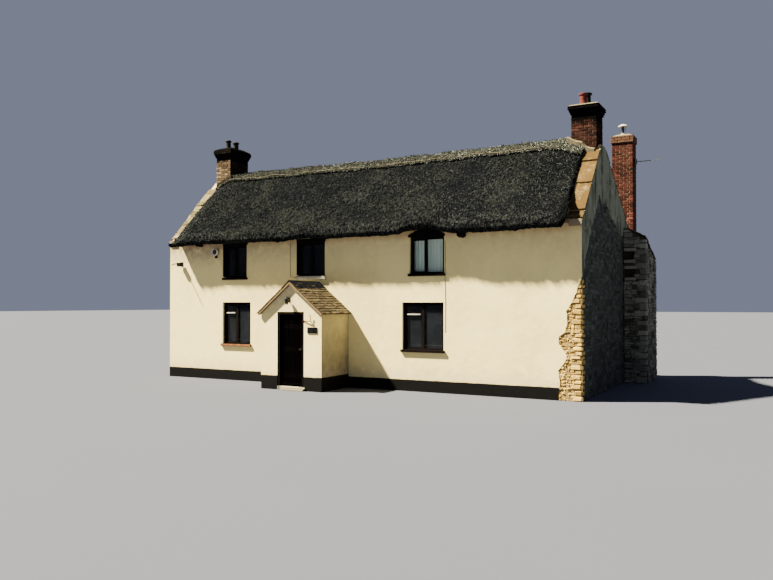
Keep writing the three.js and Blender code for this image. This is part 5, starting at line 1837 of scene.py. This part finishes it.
class DressFittings(Step):
    """Lamps, bracket, plaque, cables and aerial on the walls"""

    bl_idname = "cottage.fittings"
    bl_label = "Fittings"

    def make(self):
        black = plain_finish("black_iron", (0.006, 0.006, 0.0065), 0.6, 0.0, (0.020, 0.013, 0.010), 0.1)
        self.lantern(black)
        paint("wall_arm_light", black)
        paint("tv_aerial", plain_finish("aerial_aluminium", (0.10, 0.10, 0.105), 0.6, 0.5, None, 0.1))
        self.flood_lamp(black)
        self.bracket()
        self.plaque()
        self.cables()
        self.beam_ends()

    def lantern(self, black):
        """A hexagonal lantern: a cap, glass, six bars and a foot, on a bracket."""
        x, before, z = LANTERN
        y = PORCH_FRONT - before
        cap = [(0.0, 0.010), (0.063, 0.010), (0.067, 0.016), (0.034, 0.056), (0.014, 0.070), (0.010, 0.090),
               (0.0, 0.090)]
        foot = [(0.0, -0.130), (0.020, -0.130), (0.036, -0.122), (0.042, -0.108), (0.0, -0.108)]
        scroll = ((x, 0.008, z - 0.030), (x, 0.040, z - 0.020), (x, 0.070, z + 0.050), (x, before, z + 0.086))
        parts = [
            turned("cap", cap, (x, y, z), UP, 6),
            turned("foot", foot, (x, y, z), UP, 6),
            block("back_plate", (x - 0.030, PORCH_FRONT - 0.0123, z - 0.060),
                  (x + 0.030, PORCH_FRONT - 0.0003, z + 0.060), 0.004),
            rod("scroll", in_front_of_porch(scroll), 0.006),
        ]
        for index in range(6):
            angle = index * math.tau / 6
            low = (x + 0.040 * math.cos(angle), y + 0.040 * math.sin(angle), z - 0.110)
            high = (x + 0.062 * math.cos(angle), y + 0.062 * math.sin(angle), z + 0.012)
            parts.append(rod(f"bar_{index}", [low, high], 0.0035))
        dress(joined("porch_lantern", parts), black, ["porch_lamp"])
        panes = [(0.0, -0.106), (0.037, -0.106), (0.056, 0.009), (0.0, 0.009)]
        glass = turned("porch_lantern_glass", panes, (x, y, z), UP, 6)
        frosted = Finish("lantern_glass", 0.12)
        clouds = frosted.between(frosted.noise(20.0), 0.35, 0.65)
        tint = frosted.mix((0.006, 0.007, 0.007), (0.016, 0.017, 0.016), clouds)
        dress(glass, frosted.done(tint, 0.15))

    def flood_lamp(self, black):
        """A round white lamp with its lens, and a sensor below it."""
        x, z = FLOOD_LAMP
        y = FRONT - 0.0003
        white = plain_finish("white_lamp_case", (0.70, 0.70, 0.68), 0.35)
        body = [(0.0, 0.0), (0.030, 0.0), (0.030, 0.042), (0.085, 0.052), (0.100, 0.066), (0.104, 0.112),
                (0.096, 0.122), (0.088, 0.122), (0.084, 0.110), (0.0, 0.110)]
        case = turned("flood_lamp_case", body, (x, y, z), AHEAD, 28)
        eye = block("sensor", (x - 0.032, y - 0.075, z - 0.185), (x + 0.032, y - 0.012, z - 0.112), 0.012, 3)
        neck = rod("neck", [(x, y - 0.030, z - 0.120), (x, y - 0.030, z - 0.020)], 0.012)
        dress(case, white, ["flood_lamp"])
        dress(joined("flood_lamp_sensor", [eye, neck]), black)
        dome = [(0.0, 0.108), (0.083, 0.108), (0.078, 0.114), (0.040, 0.119), (0.0, 0.120)]
        lens = turned("flood_lamp_lens", dome, (x, y, z), AHEAD, 28)
        dress(lens, plain_finish("lamp_lens", (0.025, 0.027, 0.030), 0.2, 0.0, None, 0.2))

    def bracket(self):
        """A rusty hook for a hanging basket, beside the door."""
        rust = plain_finish("rusty_iron", (0.060, 0.014, 0.008), 0.8, 0.0, (0.028, 0.010, 0.007), 0.02)
        parts = [
            rod("arm", in_front_of_porch(BRACKET_ARM), 0.011),
            rod("upright", in_front_of_porch(BRACKET_UPRIGHT), 0.011),
            block("pad", (-0.455, PORCH_FRONT - 0.007, 1.80), (-0.420, PORCH_FRONT - 0.0005, 1.86), 0.002),
        ]
        dress(joined("porch_bracket", parts), rust)

    def plaque(self):
        """A bare slate plaque beside the door, with two screws."""
        front = PORCH_FRONT - 0.020
        slab = block("porch_plaque", (-0.313, front, 1.513), (-0.004, PORCH_FRONT - 0.0005, 1.672), 0.005, 2)
        slate = Finish("plaque_slate", 0.03)
        cleft = slate.noise(14.0, 5.0, 0.7, (0.4, 1.0, 1.6))
        tint = slate.fade((0.002, 0.0025, 0.003), (0.008, 0.009, 0.010), cleft, 0.35, 0.7)
        dress(slab, slate.done(tint, 0.42, cleft, 0.003, 0.6))
        head = [(0.0, 0.0), (0.006, 0.0), (0.005, 0.003), (0.0, 0.004)]
        screws = [turned(f"screw_{index}", head, (x, front, 1.5925), AHEAD, 10)
                  for index, x in enumerate((-0.295, -0.022))]
        brass = plain_finish("screw_brass", (0.30, 0.22, 0.10), 0.35, 0.9)
        dress(joined("porch_plaque_screws", screws), brass)

    def cables(self):
        """Thin cables clipped to the front wall."""
        parts = [rod(f"cable_{index}", [(x, FRONT - 0.006, z) for x, z in run], 0.0055)
                 for index, run in enumerate(CABLES)]
        for run in CABLES:
            for x, z in run[1:-1]:
                parts.append(block(f"clip_{len(parts)}", (x - 0.010, FRONT - 0.013, z - 0.005),
                                   (x + 0.010, FRONT - 0.0003, z + 0.005), 0.002))
        grey = plain_finish("cable_sheath", (0.16, 0.12, 0.08), 0.6)
        dress(joined("wall_cables", parts), grey)

    def beam_ends(self):
        """The dark ends of roof timbers under the eaves."""
        ends = []
        for index, (x, z, radius) in enumerate(BEAM_ENDS):
            profile = [(0.0, 0.0), (radius, 0.0), (radius * 1.02, 0.10), (radius * 0.97, 0.24),
                       (radius * 0.86, 0.26), (0.0, 0.262)]
            ends.append(turned(f"beam_{index}", profile, (x, FRONT - 0.0005, z), AHEAD, 16))
        oak = timber_finish("old_oak", (0.008, 0.006, 0.005), 0.8)
        dress(joined("eaves_beam_ends", ends), oak)


class DressFloors(Step):
    """Stone flags on the ground floor and the porch, and boards on the first floor"""

    bl_idname = "cottage.floors"
    bl_label = "Floors"

    def make(self):
        flags = flag_finish()
        paint("ground_floor", flags)
        paint("porch_floor", flags)
        paint("first_floor", board_finish())


# The photo's camera: where it stands, and its tilt and turn in radians; and the way that sunlight falls
CAMERA_SPOT = (10.744, -20.142, 2.280)
CAMERA_TILT = 0.01875
CAMERA_TURN = 0.49946
SUNLIGHT = Vector((0.546, 0.273, -0.792))


class SetStage(Step):
    """The camera, the plain floor, the sun and the light from all round"""

    bl_idname = "cottage.stage"
    bl_label = "Stage"

    def make(self):
        stage = settings("stage")
        self.camera(stage)
        self.floor(stage)
        self.light(stage)

    def camera(self, stage):
        """The view that the photo was taken from."""
        lens = bpy.data.cameras.new("view")
        lens.lens = stage.lens
        lens.sensor_width = 36.0
        lens.clip_end = 500.0
        camera = linked("view", lens)
        camera.location = CAMERA_SPOT
        camera.rotation_euler = (math.pi / 2 + CAMERA_TILT, 0.0, CAMERA_TURN)
        bpy.context.scene.camera = camera

    def floor(self, stage):
        """A plain floor just under the walls' feet."""
        deselect()
        bpy.ops.mesh.primitive_plane_add(size=400, location=(0, 0, -0.001))
        floor = named_active("floor")
        pale = Finish("pale_floor", 0.1)
        cloud = pale.noise(0.4, 2.0)
        floor.data.materials.append(pale.done(pale.mix(shade(stage.floor, 0.97), stage.floor, cloud), 0.95))
        floor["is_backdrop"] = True

    def light(self, stage):
        """Light from all round, and the sun from the left."""
        world = bpy.data.worlds.new("studio")
        world.use_nodes = True
        backdrop = world.node_tree.nodes["Background"]
        backdrop.inputs["Color"].default_value = (*stage.sky, 1.0)
        backdrop.inputs["Strength"].default_value = stage.sky_strength
        bpy.context.scene.world = world
        sun = bpy.data.lights.new("sun", "SUN")
        sun.energy = stage.sun_strength
        sun.angle = math.radians(2.5)
        sun.color = stage.sun
        linked("sun", sun).rotation_euler = SUNLIGHT.to_track_quat("-Z", "Y").to_euler()


OPERATORS = (
    DressWalls, DressThatch, DressRidge, DressVerges, DressChimneys, DressPots, DressBreast, DressWindows,
    DressCurtain, DressPorch, DressDoor, DressFittings, DressFloors, SetStage,
)


class CottagePanel(bpy.types.Panel):
    """Lists the cottage's operators in the sidebar."""

    bl_idname = "VIEW3D_PT_cottage"
    bl_label = "Thatched cottage"
    bl_space_type = "VIEW_3D"
    bl_region_type = "UI"
    bl_category = "Cottage"

    def draw(self, context):
        for operator in OPERATORS:
            self.layout.operator(operator.bl_idname)


def register():
    for name, group in SETTINGS.items():
        bpy.utils.register_class(group)
        setattr(bpy.types.Scene, f"cottage_{name}", bpy.props.PointerProperty(type=group))
    for operator in OPERATORS:
        bpy.utils.register_class(operator)
    bpy.utils.register_class(CottagePanel)


def unregister():
    bpy.utils.unregister_class(CottagePanel)
    for operator in reversed(OPERATORS):
        bpy.utils.unregister_class(operator)
    for name, group in reversed(SETTINGS.items()):
        delattr(bpy.types.Scene, f"cottage_{name}")
        bpy.utils.unregister_class(group)


def main():
    register()
    for operator in OPERATORS:
        family, name = operator.bl_idname.split(".")
        getattr(getattr(bpy.ops, family), name)()
    dressed = [list(corner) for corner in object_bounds()]
    {"cad": [list(corner) for corner in SOLIDS], "visual": dressed}


if __name__ == "__main__":
    main()
